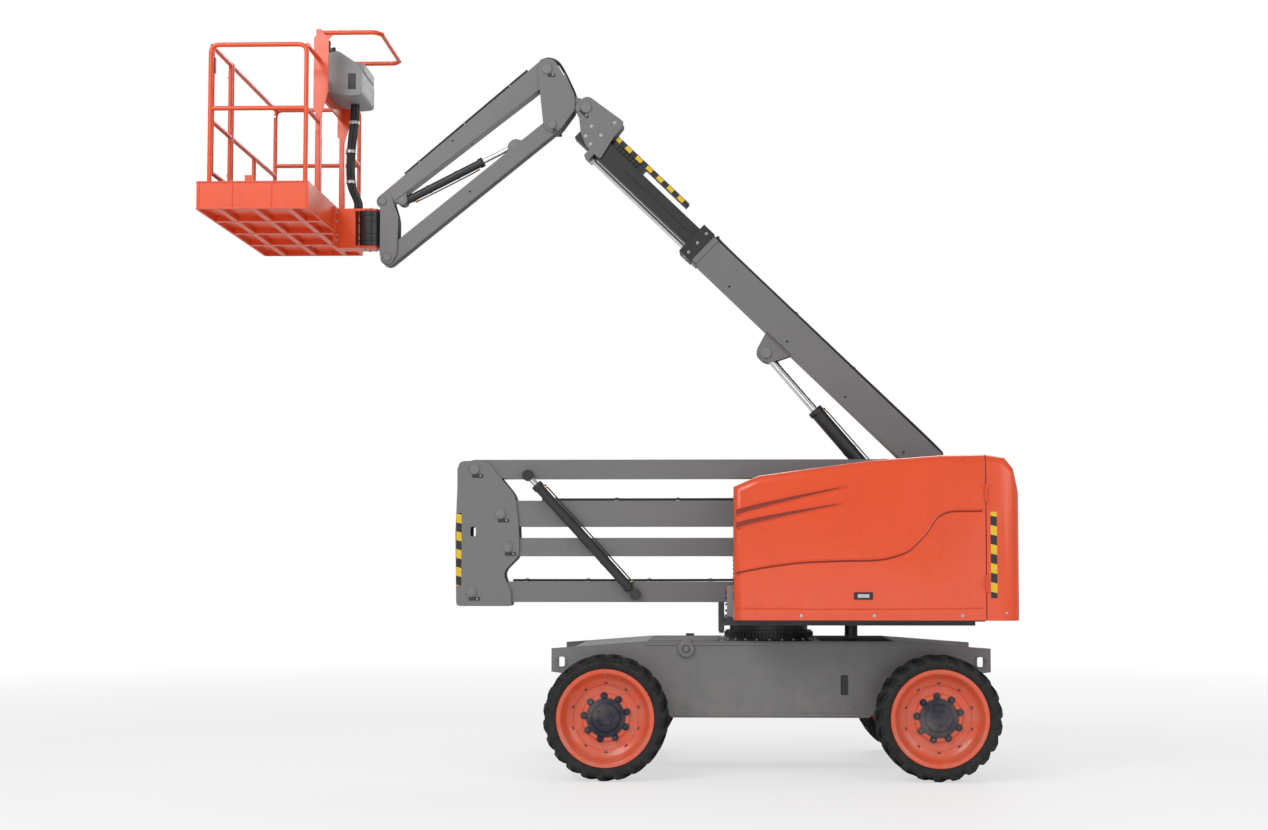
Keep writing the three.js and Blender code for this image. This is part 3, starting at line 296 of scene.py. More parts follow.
class Piece:
    """Collects solids in one frame, then becomes one object that rides on a body."""

    def __init__(self, name, body, place=WORLD):
        self.name = name
        self.body = body
        self.place = place
        self.bm = bmesh.new()
        self.materials = []
        self.current = 0

    def paint(self, key):
        if M[key] not in self.materials:
            self.materials.append(M[key])
        self.current = self.materials.index(M[key])
        return self

    def _finish(self, geometry, smooth=False):
        for item in geometry:
            if isinstance(item, bmesh.types.BMFace):
                item.material_index = self.current
                item.smooth = smooth

    def box(self, xs, ys, zs, chamfer=0.0, matrix=None):
        made = bmesh.ops.create_cube(self.bm, size=1)
        size = Vector((abs(xs[1] - xs[0]), abs(ys[1] - ys[0]), abs(zs[1] - zs[0])))
        middle = Vector(((xs[0] + xs[1]) / 2, (ys[0] + ys[1]) / 2, (zs[0] + zs[1]) / 2))
        move = Matrix.Translation(middle) @ Matrix.Diagonal((*size, 1))
        bmesh.ops.transform(self.bm, matrix=move, verts=made["verts"])
        self._finish(dict.fromkeys(f for v in made["verts"] for f in v.link_faces))
        verts = made["verts"]
        if chamfer:
            edges = list(dict.fromkeys(e for v in made["verts"] for e in v.link_edges))
            out = bmesh.ops.bevel(self.bm, geom=edges, offset=chamfer, segments=2, affect="EDGES", profile=0.7)
            self._finish(out["faces"], True)
            verts = list(dict.fromkeys([v for f in out["faces"] for v in f.verts]
                                       + [v for v in verts if v.is_valid]))
        if matrix is not None:
            bmesh.ops.transform(self.bm, matrix=matrix, verts=verts)
        return self

    def ring(self, profile, start, along, segments=32, closed=False, smooth=True):
        """Turns (radius, distance) points about the line from start along a direction."""
        axis = Vector(along).normalized()
        side = axis.orthogonal().normalized()
        up = axis.cross(side)
        start = Vector(start)
        loops = []
        for radius, distance in profile:
            if radius < 1e-6:
                loops.append([self.bm.verts.new(start + axis * distance)])
                continue
            loops.append([
                self.bm.verts.new(
                    start + axis * distance
                    + (side * math.cos(2 * math.pi * i / segments) + up * math.sin(2 * math.pi * i / segments)) * radius)
                for i in range(segments)
            ])
        pairs = list(zip(loops, loops[1:]))
        if closed:
            pairs.append((loops[-1], loops[0]))
        made = []
        for low, high in pairs:
            for i in range(segments):
                j = (i + 1) % segments
                corners = [low[i % len(low)], low[j % len(low)], high[j % len(high)], high[i % len(high)]]
                unique = list(dict.fromkeys(corners))
                if len(unique) > 2:
                    made.append(self.bm.faces.new(unique))
        self._finish(made, smooth)
        return self

    def rod(self, a, b, radius, segments=20, chamfer=None):
        a, b = Vector(a), Vector(b)
        length = (b - a).length
        c = min(radius * 0.15, length * 0.2) if chamfer is None else chamfer
        profile = [(0, 0), (radius - c, 0), (radius, c), (radius, length - c), (radius - c, length), (0, length)]
        return self.ring(profile, a, b - a, segments)

    def bolt(self, point, along, radius=9, height=7, washer=True):
        axis = Vector(along).normalized()
        point = Vector(point)
        if washer:
            self.ring([(0, 0), (radius * 1.5, 0), (radius * 1.5, 2), (radius, 2), (0, 2)],
                      point, axis, 20, smooth=False)
        start = point + axis * 1.5
        self.ring([(0, 0), (radius, 0), (radius, height * 0.8), (radius * 0.86, height), (0, height)], start, axis, 6,
                  smooth=False)
        return self

    def bolts(self, centre, along, pitch, count, radius=9, height=7, turn=0.0):
        axis = Vector(along).normalized()
        side = axis.orthogonal().normalized()
        up = axis.cross(side)
        for i in range(count):
            a = 2 * math.pi * i / count + turn
            self.bolt(Vector(centre) + (side * math.cos(a) + up * math.sin(a)) * pitch, along, radius, height)
        return self

    def tube(self, points, radius, segments=12, smooth_steps=8):
        """A hose or bent rail along a smooth curve through the points."""
        pts = [Vector(p) for p in points]
        path = []
        for i in range(len(pts) - 1):
            p0 = pts[max(i - 1, 0)]
            p1, p2 = pts[i], pts[i + 1]
            p3 = pts[min(i + 2, len(pts) - 1)]
            for k in range(smooth_steps):
                t = k / smooth_steps
                path.append(0.5 * (2 * p1 + (p2 - p0) * t + (2 * p0 - 5 * p1 + 4 * p2 - p3) * t * t
                                   + (3 * p1 - p0 - 3 * p2 + p3) * t ** 3))
        path.append(pts[-1])
        return self.sweep(path, radius, segments)

    def sweep(self, path, radius, segments=12):
        loops = []
        normal = (path[1] - path[0]).orthogonal().normalized()
        for i, p in enumerate(path):
            ahead = path[min(i + 1, len(path) - 1)] - path[max(i - 1, 0)]
            t = ahead.normalized()
            normal = (normal - t * normal.dot(t)).normalized()
            up = t.cross(normal)
            loops.append([
                self.bm.verts.new(p + (normal * math.cos(2 * math.pi * k / segments)
                                       + up * math.sin(2 * math.pi * k / segments)) * radius)
                for k in range(segments)
            ])
        made = []
        for low, high in zip(loops, loops[1:]):
            for k in range(segments):
                j = (k + 1) % segments
                made.append(self.bm.faces.new([low[k], low[j], high[j], high[k]]))
        made.append(self.bm.faces.new(list(reversed(loops[0]))))
        made.append(self.bm.faces.new(loops[-1]))
        self._finish(made, True)
        return self

    def bent(self, points, radius, bend, segments=14):
        """A rail of straight runs with rounded corners."""
        pts = [Vector(p) for p in points]
        path = [pts[0]]
        for before, here, after in zip(pts, pts[1:], pts[2:]):
            a = here + (before - here).normalized() * bend
            b = here + (after - here).normalized() * bend
            path += [a * (1 - t) ** 2 + here * 2 * t * (1 - t) + b * t * t for t in [k / 6 for k in range(7)]]
        path.append(pts[-1])
        return self.sweep(path, radius, segments)

    def plate(self, outline, ys, chamfer=0.0):
        """An XZ outline between two Y limits."""
        y0, y1 = min(ys), max(ys)
        near = [self.bm.verts.new((x, y0, z)) for x, z in outline]
        far = [self.bm.verts.new((x, y1, z)) for x, z in outline]
        made = [self.bm.faces.new(near), self.bm.faces.new(list(reversed(far)))]
        for i in range(len(near)):
            j = (i + 1) % len(near)
            made.append(self.bm.faces.new([near[j], near[i], far[i], far[j]]))
        self._finish(made)
        if chamfer:
            edges = list(dict.fromkeys(e for f in made[:2] for e in f.edges))
            out = bmesh.ops.bevel(self.bm, geom=edges, offset=chamfer, segments=2, affect="EDGES")
            self._finish(out["faces"], True)
        return self

    def done(self, replaces=(), split=30):
        bmesh.ops.recalc_face_normals(self.bm, faces=self.bm.faces)
        self.bm.transform(self.place)
        mesh = bpy.data.meshes.new(self.name)
        self.bm.to_mesh(mesh)
        self.bm.free()
        for material in self.materials:
            mesh.materials.append(material)
        obj = bpy.data.objects.new(self.name, mesh)
        bpy.context.scene.collection.objects.link(obj)
        edges = obj.modifiers.new("edges", "EDGE_SPLIT")
        edges.split_angle = math.radians(split)
        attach(obj, self.body)
        if replaces:
            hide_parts(*([replaces] if isinstance(replaces, str) else replaces))
        return obj


# ---- finish of the CAD nodes

FINISH = {
    "orange": ["counterweight", "hood_left", "hood_right", "platform_tray", "platform_yoke", "rails_left",
               "rails_right", "rails_front", "platform_gate", "console_frame"],
    "grey": ["chassis_frame", "riser_lower_arm", "riser_lower_link", "riser_upper_arm", "riser_upper_link",
             "riser_mid_upright", "riser_upper_upright", "boom_base", "boom_nose", "jib_knuckle", "jib_arm",
             "jib_link", "platform_bracket", "turntable_lock"],
    "black": ["turret_frame", "slew_ring", "boom_fly", "boom_mouth_collar", "hose_tray", "platform_rotator",
              "riser_cylinder_barrel", "lift_cylinder_barrel", "jib_cylinder_barrel", "tank_block"],
    "chrome": ["riser_cylinder_rod", "lift_cylinder_rod", "jib_cylinder_rod", "extension_rod"],
    "iron": ["drive_axle", "steer_axle", "steer_knuckle_right", "steer_knuckle_left", "tie_rod", "engine_block"],
    "plastic": ["platform_console"],
    "hose": ["hose_bundle"],
    "tyre": [n for n in nodes if n.startswith("tyre_")],
    "rim": [n for n in nodes if n.startswith("rim_")],
}
for key, names in FINISH.items():
    for name in names:
        obj = nodes[name]
        obj.data.materials.clear()
        obj.data.materials.append(M[key])
        for attribute in [a for a in obj.data.attributes if a.name == "custom_normal"]:
            obj.data.attributes.remove(attribute)
        obj.data.polygons.foreach_set("use_smooth", [True] * len(obj.data.polygons))
        weld = obj.modifiers.new("weld", "WELD")
        weld.merge_threshold = 0.00005
        edges = obj.modifiers.new("edges", "EDGE_SPLIT")
        edges.split_angle = math.radians(32)

# ---- wheels

TYRE_R, TYRE_W = 430, 315
LUGS = 22


def wheel_place(node):
    low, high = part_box(node)
    middle = (low + high) / 2
    outward = 1 if middle.y > 0 else -1
    turn = Matrix.Identity(4) if outward > 0 else Matrix.Rotation(math.pi, 4, "Z")
    return Matrix.Translation(middle) @ turn @ Matrix.Scale(0.001, 4)


def tyre_piece(node, body):
    piece = Piece(node + "_treaded", body, wheel_place(node)).paint("tyre")
    half = TYRE_W / 2
    groove = TYRE_R - 24
    side = [
        (324, -128), (340, -130), (341, -141), (352, -148), (366, -half + 2), (372, -half), (378, -half + 2),
        (386, -half + 4), (groove - 10, -half + 14), (groove, -half + 34),
    ]
    profile = side + [(r, -y) for r, y in reversed(side)]
    profile += [(322.5, 100), (322.5, -100)]
    piece.ring(profile, (0, 0, 0), (0, 1, 0), 88, closed=True)
    for i in range(LUGS):
        for hand in (1, -1):
            first = 2 * math.pi * (i + (0.25 if hand > 0 else -0.25)) / LUGS
            steps = 5
            rows = []
            for k in range(steps + 1):
                t = k / steps
                y = hand * (6 + t * (half - 8))
                lean = first + t * 0.16
                wide = 0.060 - 0.006 * t
                crown = TYRE_R - (26 * max(0.0, t - 0.72) / 0.28)
                base = groove - 14 - (34 * max(0.0, t - 0.80) / 0.20)
                rows.append((y, lean, wide, crown, base))
            loops = []
            for y, lean, wide, crown, base in rows:
                loop = []
                for da, r in ((-wide * 1.12, base), (-wide, crown - 2), (-wide * 0.86, crown),
                              (wide * 0.86, crown), (wide, crown - 2), (wide * 1.12, base)):
                    a = lean + da
                    loop.append(piece.bm.verts.new((r * math.cos(a), y, r * math.sin(a))))
                loops.append(loop)
            made = []
            for low, high in zip(loops, loops[1:]):
                for k in range(6):
                    j = (k + 1) % 6
                    made.append(piece.bm.faces.new([low[k], low[j], high[j], high[k]]))
            made.append(piece.bm.faces.new(loops[0]))
            made.append(piece.bm.faces.new(list(reversed(loops[-1]))))
            piece._finish(made)
    for side_sign in (1, -1):
        for radius in (392, 398):
            y = side_sign * (half - 3)
            piece.ring([(radius - 1.5, 0), (radius, 1.5 * side_sign), (radius + 1.5, 0)],
                       (0, y - side_sign, 0), (0, 1, 0), 72, closed=True)
    piece.done(replaces=node, split=28)


def rim_piece(node, body, driven):
    piece = Piece(node + "_detailed", body, wheel_place(node)).paint("rim")
    profile = [
        (0, 20), (150, 20), (225, 12), (262, 30), (268, 40), (270, 60), (270, -118), (286, -128), (300, -139),
        (333, -140), (337, -137), (337, -128), (326, -124), (321.5, -110), (321.5, 110), (326, 124), (337, 128),
        (337, 136), (333, 139), (316, 139), (306, 134), (296, 118), (288, 92), (278, 74), (262, 60), (240, 50),
        (226, 44), (222, 36), (214, 33), (170, 40), (158, 50), (0, 52),
    ]
    piece.ring(profile, (0, 0, 0), (0, 1, 0), 88)
    for i in range(10):
        a = 2 * math.pi * (i + 0.5) / 10
        centre = Vector((243 * math.cos(a), 49, 243 * math.sin(a)))
        piece.paint("knob").ring([(0, 0), (13, 0), (13, 4), (10, 4.5), (0, 3)],
                                 centre - Vector((0, 2, 0)), (0, 1, 0), 20)
    piece.paint("hub")
    reach = 74 if driven else 66
    piece.ring([(0, 50), (132, 50), (134, 54), (134, 60), (128, 64), (98, 66), (96, reach + 6), (88, reach + 12),
                (52, reach + 14), (48, reach + 20), (0, reach + 21)], (0, 0, 0), (0, 1, 0), 56)
    piece.paint("hub").bolts((0, 51, 0), (0, 1, 0), 150, 9, 17, 20)
    piece.paint("iron").bolts((0, reach + 11, 0), (0, 1, 0), 70, 6, 7, 6)
    piece.paint("steel").rod((0, 128, 300), (0, 152, 306), 4, 10)
    piece.done(replaces=node)


for end in ("drive", "steer"):
    for side in ("right", "left"):
        tyre_piece(f"tyre_{end}_{side}", f"wheel_{end}_{side}")
        rim_piece(f"rim_{end}_{side}", f"wheel_{end}_{side}", end == "drive")

# ---- chassis

c = Piece("chassis_details", "chassis").paint("grey")
for y in (-580, 580):
    s = 1 if y > 0 else -1
    out = (0, s, 0)
    c.paint("grey")
    c.plate([(-690, 404), (-690, 424), (690, 424), (690, 404)], (y, y + s * 5), 1.5)
    c.plate([(-880, 905), (-900, 925), (900, 925), (880, 905)], (y, y + s * 6), 1.5)
    for x in (-1525, 1525):
        c.ring([(44, 0), (44, 5), (36, 6), (36, 0)], (x * 0.978, y, 789), out, 28, closed=True)
    c.paint("pin")
    for x in (-620, -590, 590, 620):
        c.bolt((x, y, 470), out, 9, 6)
    c.paint("knob").box((508, 550), (y + s, y + s * 7), (556, 694), 1)
    c.paint("grey")
    c.ring([(0, 0), (62, 0), (62, 16), (54, 22), (30, 22), (28, 14), (0, 14)], (-601, y, 880), out, 40)
    c.box((-634, -568), (y, y + s * 18), (900, 952), 5)
    c.paint("pin").ring([(0, 0), (20, 0), (22, 10), (18, 20), (0, 22)], (-601, y + s * 13, 880), out, 24)
c.paint("tread_plate")
c.box((-880, -360), (-520, 520), (934, 937), 1)
c.box((360, 880), (-520, 520), (934, 937), 1)
c.paint("steel")
for i in range(24):
    a = 2 * math.pi * i / 24
    c.bolt((349 * math.cos(a), 349 * math.sin(a), 934), (0, 0, 1), 9, 9)
c.paint("iron")
TEETH = 72
for i in range(TEETH):
    c.box((318, 331), (-6, 6), (950, 988), 1.5, Matrix.Rotation(2 * math.pi * i / TEETH, 4, "Z"))
for x, name in ((-1140, "drive_axle"), (1140, "steer_axle")):
    c.paint("iron").rod((x - 138, 0, 430), (x - 118, 0, 430), 92, 32)
    c.paint("steel").bolts((x - 138, 0, 430), (-1, 0, 0), 78, 8, 8, 7)
    c.paint("iron").rod((x, -40, 540), (x, -40, 566), 22, 20)
    for y in (-320, 320):
        c.paint("steel")
        for dx in (-60, 60):
            for dy in (-45, 45):
                c.bolt((x + dx * 0.95, y + dy * 1.25 + (14 if dy > 0 else -14), 620), (0, 0, -1), 9, 9)
c.paint("hose")
for run in ([(980, 300, 640), (1040, 380, 560), (1100, 470, 500), (1125, 560, 470)],
            [(-980, 250, 640), (-1060, 330, 560), (-1120, 430, 510), (-1140, 560, 498)]):
    for s in (-1, 1):
        c.tube([(x, s * y, z) for x, y, z in run], 9)
c.done()

for side, s in (("right", -1), ("left", 1)):
    k = Piece(f"knuckle_details_{side}", f"knuckle_{side}").paint("steel")
    x, y = 1140, s * 760
    k.rod((x, y, 526), (x, y, 534), 26, 24)
    k.bolt((x, y, 533), (0, 0, 1), 14, 8)
    k.rod((x + 190, y, 385), (x + 190, y, 397), 12, 16)
    k.paint("copper").rod((x - 30, y + s * 40, 466), (x - 30, y + s * 40, 486), 4, 10)
    k.done()

# ---- turret, hoods and counterweight


def hood_details(side, s):
    """Louvres, style grooves and crease, latch, seal and lifting recess on one hood; the grooves and crease are flat
    darker-orange pieces of painted shade.
    """
    h = Piece(f"hood_details_{side}", f"hood_{side}")
    face = s * 1100
    out = s * 1.0

    def line(points, radius, key):
        h.paint(key).tube([(x, face + out * 0.6, z) for x, z in points], radius, 8, 10)

    for start, end in ((1836, 2016), (1749, 1898)):
        tip = 515 if start > 1800 else 481
        rise = end - start

        def at(share, offset):
            return (-244 + (tip + 244) * share, start + rise * (share ** 0.88) + offset * (1 - share) ** 0.6)

        shares = [i / 14 for i in range(15)]
        edge_up = [at(v, 19) for v in shares]
        edge_down = [at(v, -19) for v in shares]
        # painted shade: the groove is a flush plate of darker orange that stands in for the shade in the recess; the
        # orange tubes along it are its lips
        h.paint("shade").plate(edge_down + edge_up[-2::-1], (face - s * 1, face + s * 1.0))
        h.paint("orange").tube([(x, face + out * 1.5, z + 4) for x, z in edge_up], 6, 8, 3)
        h.tube([(x, face + out * 0.5, z - 3) for x, z in edge_down], 4, 8, 3)
    style = [(-250, 1420), (-20, 1462), (200, 1490), (480, 1502), (740, 1510), (914, 1559), (1000, 1630), (1066, 1704),
             (1110, 1775), (1156, 1815), (1220, 1838), (1294, 1843), (1440, 1843)]
    # painted shade: a thin darker-orange tube along the style crease stands in for its shade; the orange tube above it
    # is the lip
    line(style, 5, "shade")
    h.paint("orange").tube([(x, face + out * 2.0, z + 11) for x, z in style], 6, 8, 8)
    lower = [(-250, 1180), (200, 1176), (900, 1176), (1440, 1182)]
    h.paint("orange").tube([(x, face + out * 1.0, z) for x, z in lower], 4, 8, 6)
    h.paint("seal").box((-255, 1455), (face - s * 12, face + s * 2), (1090, 1098), 1)
    h.paint("knob").box((560, 690), (face, face + s * 5), (1240, 1290), 2)
    h.paint("steel").box((585, 665), (face + s * 5, face + s * 13), (1252, 1278), 3)
    h.paint("steel").rod((625, face + s * 13, 1265), (625, face + s * 17, 1265), 6, 16)
    h.paint("knob")
    for i in range(9):
        z = 1240 + i * 34
        h.box((-266, -258), (s * 640, s * 980), (z, z + 14), 2)
    h.paint("orange").box((-268, -261), (s * 610, s * 1010), (1215, 1222), 2)
    h.box((-268, -261), (s * 610, s * 1010), (1545, 1552), 2)
    h.paint("steel")
    for x in (200, 700, 1300):
        h.bolt((x, face, 1130), (0, s, 0), 7, 4)
    h.done()


hood_details("right", -1)
hood_details("left", 1)

t = Piece("counterweight_details", "turret")
for s in (-1, 1):
    face = s * 1100
    t.paint("hazard_z").box((1495, 1538), (face, face + s * 1.2), (1250, 1840), 0.4)
    t.paint("seal").box((1464, 1469), (face - s * 6, face - s * 1), (1100, 2170))
    t.paint("steel").bolt((1600, s * 1094.5, 1150), (0, s, 0), 9, 6)
t.paint("seal")
t.tube([(1701.5, -850, 1480), (1702, 0, 1480), (1701.5, 850, 1480)], 5, 8)
t.tube([(1701.5, -850, 1860), (1702, 0, 1860), (1701.5, 850, 1860)], 5, 8)
t.paint("knob").box((1700, 1705), (-420, 420), (1560, 1780), 2)
for i in range(7):
    z = 1578 + i * 28
    t.paint("seal").box((1704, 1709), (-400, 400), (z, z + 12), 1)
t.paint("hazard_z").box((1700, 1701.5), (-900, -760), (1130, 1430), 0.4)
t.box((1700, 1701.5), (760, 900), (1130, 1430), 0.4)
for y in (-600, 600):
    t.paint("red").ring([(0, 0), (42, 0), (42, 12), (34, 18), (0, 20)], (1700, y, 1250), (1, 0, 0), 32)
    t.paint("knob").ring([(42, 0), (50, 0), (50, 10), (42, 12)], (1700, y, 1250), (1, 0, 0), 32, closed=True)
t.paint("steel")
for y in (-480, -240, 0, 240, 480):
    for z in (1180, 1340):
        t.bolt((1429, y, z), (-1, 0, 0), 12, 9)
t.done()

d = Piece("deck_details", "turret").paint("grey")
d.box((-320, 700), (-505, -345), (1100, 1104), 1)
d.box((-320, 1300), (120, 500), (1100, 1104), 1)
d.paint("tread_plate").box((-310, 690), (-60, 480), (1100, 1106), 1)
d.paint("plastic").box((-310, -215), (-480, -360), (1106, 1330), 6)
d.paint("red").ring([(0, 0), (18, 0), (20, 8), (16, 12), (0, 13)], (-310, -420, 1290), (-1, 0, 0), 24)
d.paint("knob")
for i in range(3):
    for j in range(2):
        d.rod((-310, -450 + 60 * j, 1150 + 45 * i), (-322, -450 + 60 * j, 1150 + 45 * i), 8, 14)
d.paint("hose")
for i in range(4):
    y = 60 + 34 * i
    d.tube([(900, y, 1108), (700, y + 6, 1130), (420, y, 1118), (180, y * 0.6, 1112), (40, y * 0.5, 1110)],
           11, 10)
d.paint("steel")
for x in (-260, -60, 140, 340):
    for y in (-485, 485):
        d.bolt((x, y, 1104), (0, 0, 1), 9, 7)
d.paint("iron").rod((615, 0, 1100), (615, 0, 1240), 62, 36)
d.rod((615, 0, 1240), (615, 0, 1300), 44, 32)
d.paint("steel").bolts((615, 0, 1240), (0, 0, 1), 54, 6, 6, 6)
lock_low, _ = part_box("turntable_lock")
lx = (lock_low.x - SHIFT) * 1000
d.paint("steel").rod((lx + 22, 0, 1240), (lx + 22, 0, 1276), 9, 16)
d.paint("red").rod((lx - 6, 0, 1270), (lx + 50, 0, 1270), 7, 14)
d.done()

e = Piece("engine_details", "turret")
e.paint("steel").rod((300, 800, 1770), (300, 800, 1860), 34, 24)
e.paint("steel").rod((300, 800, 1850), (760, 800, 1850), 70, 36)
e.paint("knob").rod((820, 700, 1750), (940, 700, 1750), 70, 32)
e.paint("iron")
for i in range(4):
    e.box((330 + 120 * i, 420 + 120 * i), (590, 612), (1350, 1560), 8)
e.ring([(0, 0), (130, 0), (134, 6), (134, 24), (120, 30), (40, 30), (40, 40), (0, 40)],
       (178, 800, 1400), (-1, 0, 0), 48)
e.paint("hose").tube([(200, 620, 1700), (260, 600, 1600), (320, 596, 1300), (420, 600, 1160)], 16)
e.tube([(900, 640, 1660), (980, 660, 1560), (990, 700, 1300), (960, 760, 1140)], 20)
e.paint("knob").ring([(0, 0), (44, 0), (46, 14), (40, 22), (0, 24)], (450, -820, 1560), (0, 0, 1), 32)
e.paint("steel")
for x in (120, 450, 780):
    e.box((x - 14, x + 14), (-994, -640), (1560, 1564), 1)
    e.box((x - 14, x + 14), (-994, -990), (1110, 1564), 1)
e.done()

# ---- riser

PINS = {
    "lower_arm": joint_at("riser_lift"),
    "lower_link": joint_at("lower_link_pivot"),
    "mid_lower": joint_at("mid_upright_pivot"),
    "mid_arm": joint_at("upper_arm_pivot"),
    "mid_link": joint_at("upper_link_pivot"),
    "top": joint_at("upper_upright_pivot"),
}
RISER_Y = PINS["lower_arm"].y * 1000


def local(point):
    return ((point.x - SHIFT) * 1000, point.z * 1000)


def pin_heads(piece, x, z, half, radius=34):
    """A capped pin end with its keeper plate on both sides of a clevis."""
    for s in (-1, 1):
        y = RISER_Y + s * half
        piece.paint("pin").ring([(0, 0), (radius, 0), (radius, 7), (radius - 4, 11), (0, 11)],
                                (x, y, z), (0, s, 0), 32)
        piece.paint("black").box((x - 16, x + 62), (y, y + s * 7), (z - 62, z - 38), 2)
        piece.paint("steel").bolt((x + 46, y + s * 7, z - 50), (0, s, 0), 7, 5, False)
        piece.paint("copper").rod((x, y + s * 11, z), (x, y + s * 18, z), 4, 10)
    return piece


CHEEK = 91
m = Piece("mid_upright_details", "mid_upright")
for x, z in (local(PINS["mid_lower"]), local(PINS["mid_arm"]), local(PINS["mid_link"]),
             (local(PINS["lower_link"])[0] - 3000, local(PINS["lower_link"])[1])):
    pin_heads(m, x, z, CHEEK)
m.paint("hazard_z")
mid_low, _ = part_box("riser_mid_upright")
edge = (mid_low.x - SHIFT) * 1000
for s in (-1, 1):
    m.box((edge + 8, edge + 46), (RISER_Y + s * CHEEK, RISER_Y + s * (CHEEK + 1.4)), (1330, 1860), 0.4)
m.paint("hazard_z").box((edge + 10.5, edge + 12), (RISER_Y - 64, RISER_Y + 64), (1240, 2120), 0.4)
m.paint("hose")
m.tube([(edge + 70, RISER_Y + 30, 1300), (edge + 46, RISER_Y + 40, 1480), (edge + 46, RISER_Y + 40, 1800),
        (edge + 80, RISER_Y + 30, 2080)], 12)
m.tube([(edge + 75, RISER_Y - 10, 1300), (edge + 50, RISER_Y, 1480), (edge + 50, RISER_Y, 1800),
        (edge + 85, RISER_Y - 10, 2080)], 12)
m.done()

ARM_HALF = {"riser_lower_arm": 75, "riser_lower_link": 67, "riser_upper_arm": 95, "riser_upper_link": 69}


def arm_details(node, body, right_pin):
    x, z = local(right_pin)
    half = ARM_HALF[node]
    a = Piece(node + "_details", body).paint("grey")
    for s in (-1, 1):
        y = RISER_Y + s * 70
        for end in (x, x - 3000):
            inward = -1 if end == x else 1
            a.plate([(end + inward * 110, z - half + 8), (end + inward * 300, z - half + 26),
                     (end + inward * 300, z + half - 26), (end + inward * 110, z + half - 8)], (y, y + s * 0.6))
    a.paint("hose")
    for i, dy in enumerate((-34, -6, 22)):
        top = z + half + 10
        a.tube([(x - 240, RISER_Y + dy, top), (x - 900, RISER_Y + dy + 3, top + 2),
                (x - 1700, RISER_Y + dy - 3, top),
                (x - 2700, RISER_Y + dy, top)], 9, 10)
    a.paint("steel")
    for px in range(350, 2800, 450):
        a.box((x - px - 14, x - px + 14), (RISER_Y - 56, RISER_Y + 44), (z + half, z + half + 4), 1)
        a.box((x - px - 14, x - px + 14), (RISER_Y - 50, RISER_Y + 38), (z + half + 19, z + half + 22), 1)
        a.bolt((x - px, RISER_Y + 6, z + half + 21), (0, 0, 1), 6, 5)
    a.done()


arm_details("riser_lower_arm", "lower_arm", PINS["lower_arm"])
arm_details("riser_upper_arm", "upper_arm", PINS["top"])

tw = Piece("tower_details", "turret")
for point in (PINS["lower_arm"], PINS["lower_link"]):
    pin_heads(tw, *local(point), CHEEK)
tw.done()

u = Piece("upper_upright_details", "upper_upright")
pin_heads(u, *local(PINS["top"]), CHEEK)
pin_heads(u, local(PINS["mid_link"])[0] + 3000, local(PINS["mid_link"])[1], CHEEK)
bx, bz = local(joint_at("main_boom_lift"))
lx2, lz2 = local(joint_at("lift_cylinder_pivot"))
for x, z, r in ((bx, bz, 44), (lx2, lz2, 34)):
    for s in (-1, 1):
        y = s * 110.8
        u.paint("pin").ring([(0, 0), (r, 0), (r, 8), (r - 5, 13), (0, 13)], (x, y, z), (0, s, 0), 36)
        u.paint("black").box((x - 18, x + 70), (y, y + s * 8), (z - r - 30, z - r - 4), 2)
        u.paint("steel").bolt((x + 50, y + s * 8, z - r - 17), (0, s, 0), 8, 6, False)
u.done()

# ---- cylinders


def cylinder_details(name, body, place, radius, barrel):
    b = Piece(name + "_barrel_details", body, place)
    b.paint("black").ring([(radius + 0.5, 0), (radius + 6, 0), (radius + 7, 4), (radius + 7, 34), (radius + 4, 40),
                           (radius * 0.62, 41), (radius * 0.62, 30)], (-barrel + 40, 0, 0), (-1, 0, 0), 40, closed=True)
    b.paint("black").ring([(radius + 0.5, 0), (radius + 5, 2), (radius + 5, 24), (radius + 0.5, 26)],
                          (-radius - 30, 0, 0), (-1, 0, 0), 40, closed=True)
    b.paint("black").tube([(-90, 0, radius + 8), (-160, 0, radius + 13), (-barrel + 120, 0, radius + 13),
                           (-barrel + 62, 0, radius + 6)], 5, 10)
    b.paint("copper").rod((-90, 0, radius - 2), (-90, 0, radius + 20), 9, 12)
    b.rod((-barrel + 62, 0, radius - 2), (-barrel + 62, 0, radius + 16), 9, 12)
    b.paint("black")
    for share in (0.3, 0.65):
        b.ring([(radius + 0.4, 0), (radius + 2.4, 0), (radius + 2.4, 22), (radius + 0.4, 22)],
               (-barrel * share, 0, 0), (-1, 0, 0), 36, closed=True)
    b.done()


def rod_eye_details(name, body, place, length, eye, eye_half):
    d = Piece(name + "_eye_sleeve", body, place)
    d.paint("black").ring([(eye + 0.4, 0), (eye + 2, 2), (eye + 2, 2 * eye_half - 2), (eye + 0.4, 2 * eye_half)],
                          (-length, eye_half, 0), (0, -1, 0), 40, closed=True)
    for s in (-1, 1):
        d.ring([(0, 0), (eye + 1.5, 0), (eye + 1.5, 0.25), (0, 0.25)], (-length, s * eye_half, 0), (0, s, 0), 40)
    d.done()


def pitch_of(joint):
    axis = Vector(JOINTS[joint]["axis"])
    return math.degrees(math.atan2(axis.z, -axis.x))


CYLINDERS = [
    ("riser_cylinder", "riser_barrel", 35, 1083),
    ("lift_cylinder", "lift_barrel", 52, 1180),
    ("jib_cylinder", "jib_barrel", 30, 680),
]
for name, body, radius, barrel in CYLINDERS:
    place = turned_at(joint_at(name + "_pivot"), pitch_of(name + "_stroke"))
    cylinder_details(name, body, place, radius, barrel)
rod_eye_details("riser_rod", "riser_rod",
                turned_at(joint_at("riser_cylinder_pivot"), pitch_of("riser_cylinder_stroke")), 1173, 40, 20)

# ---- main boom

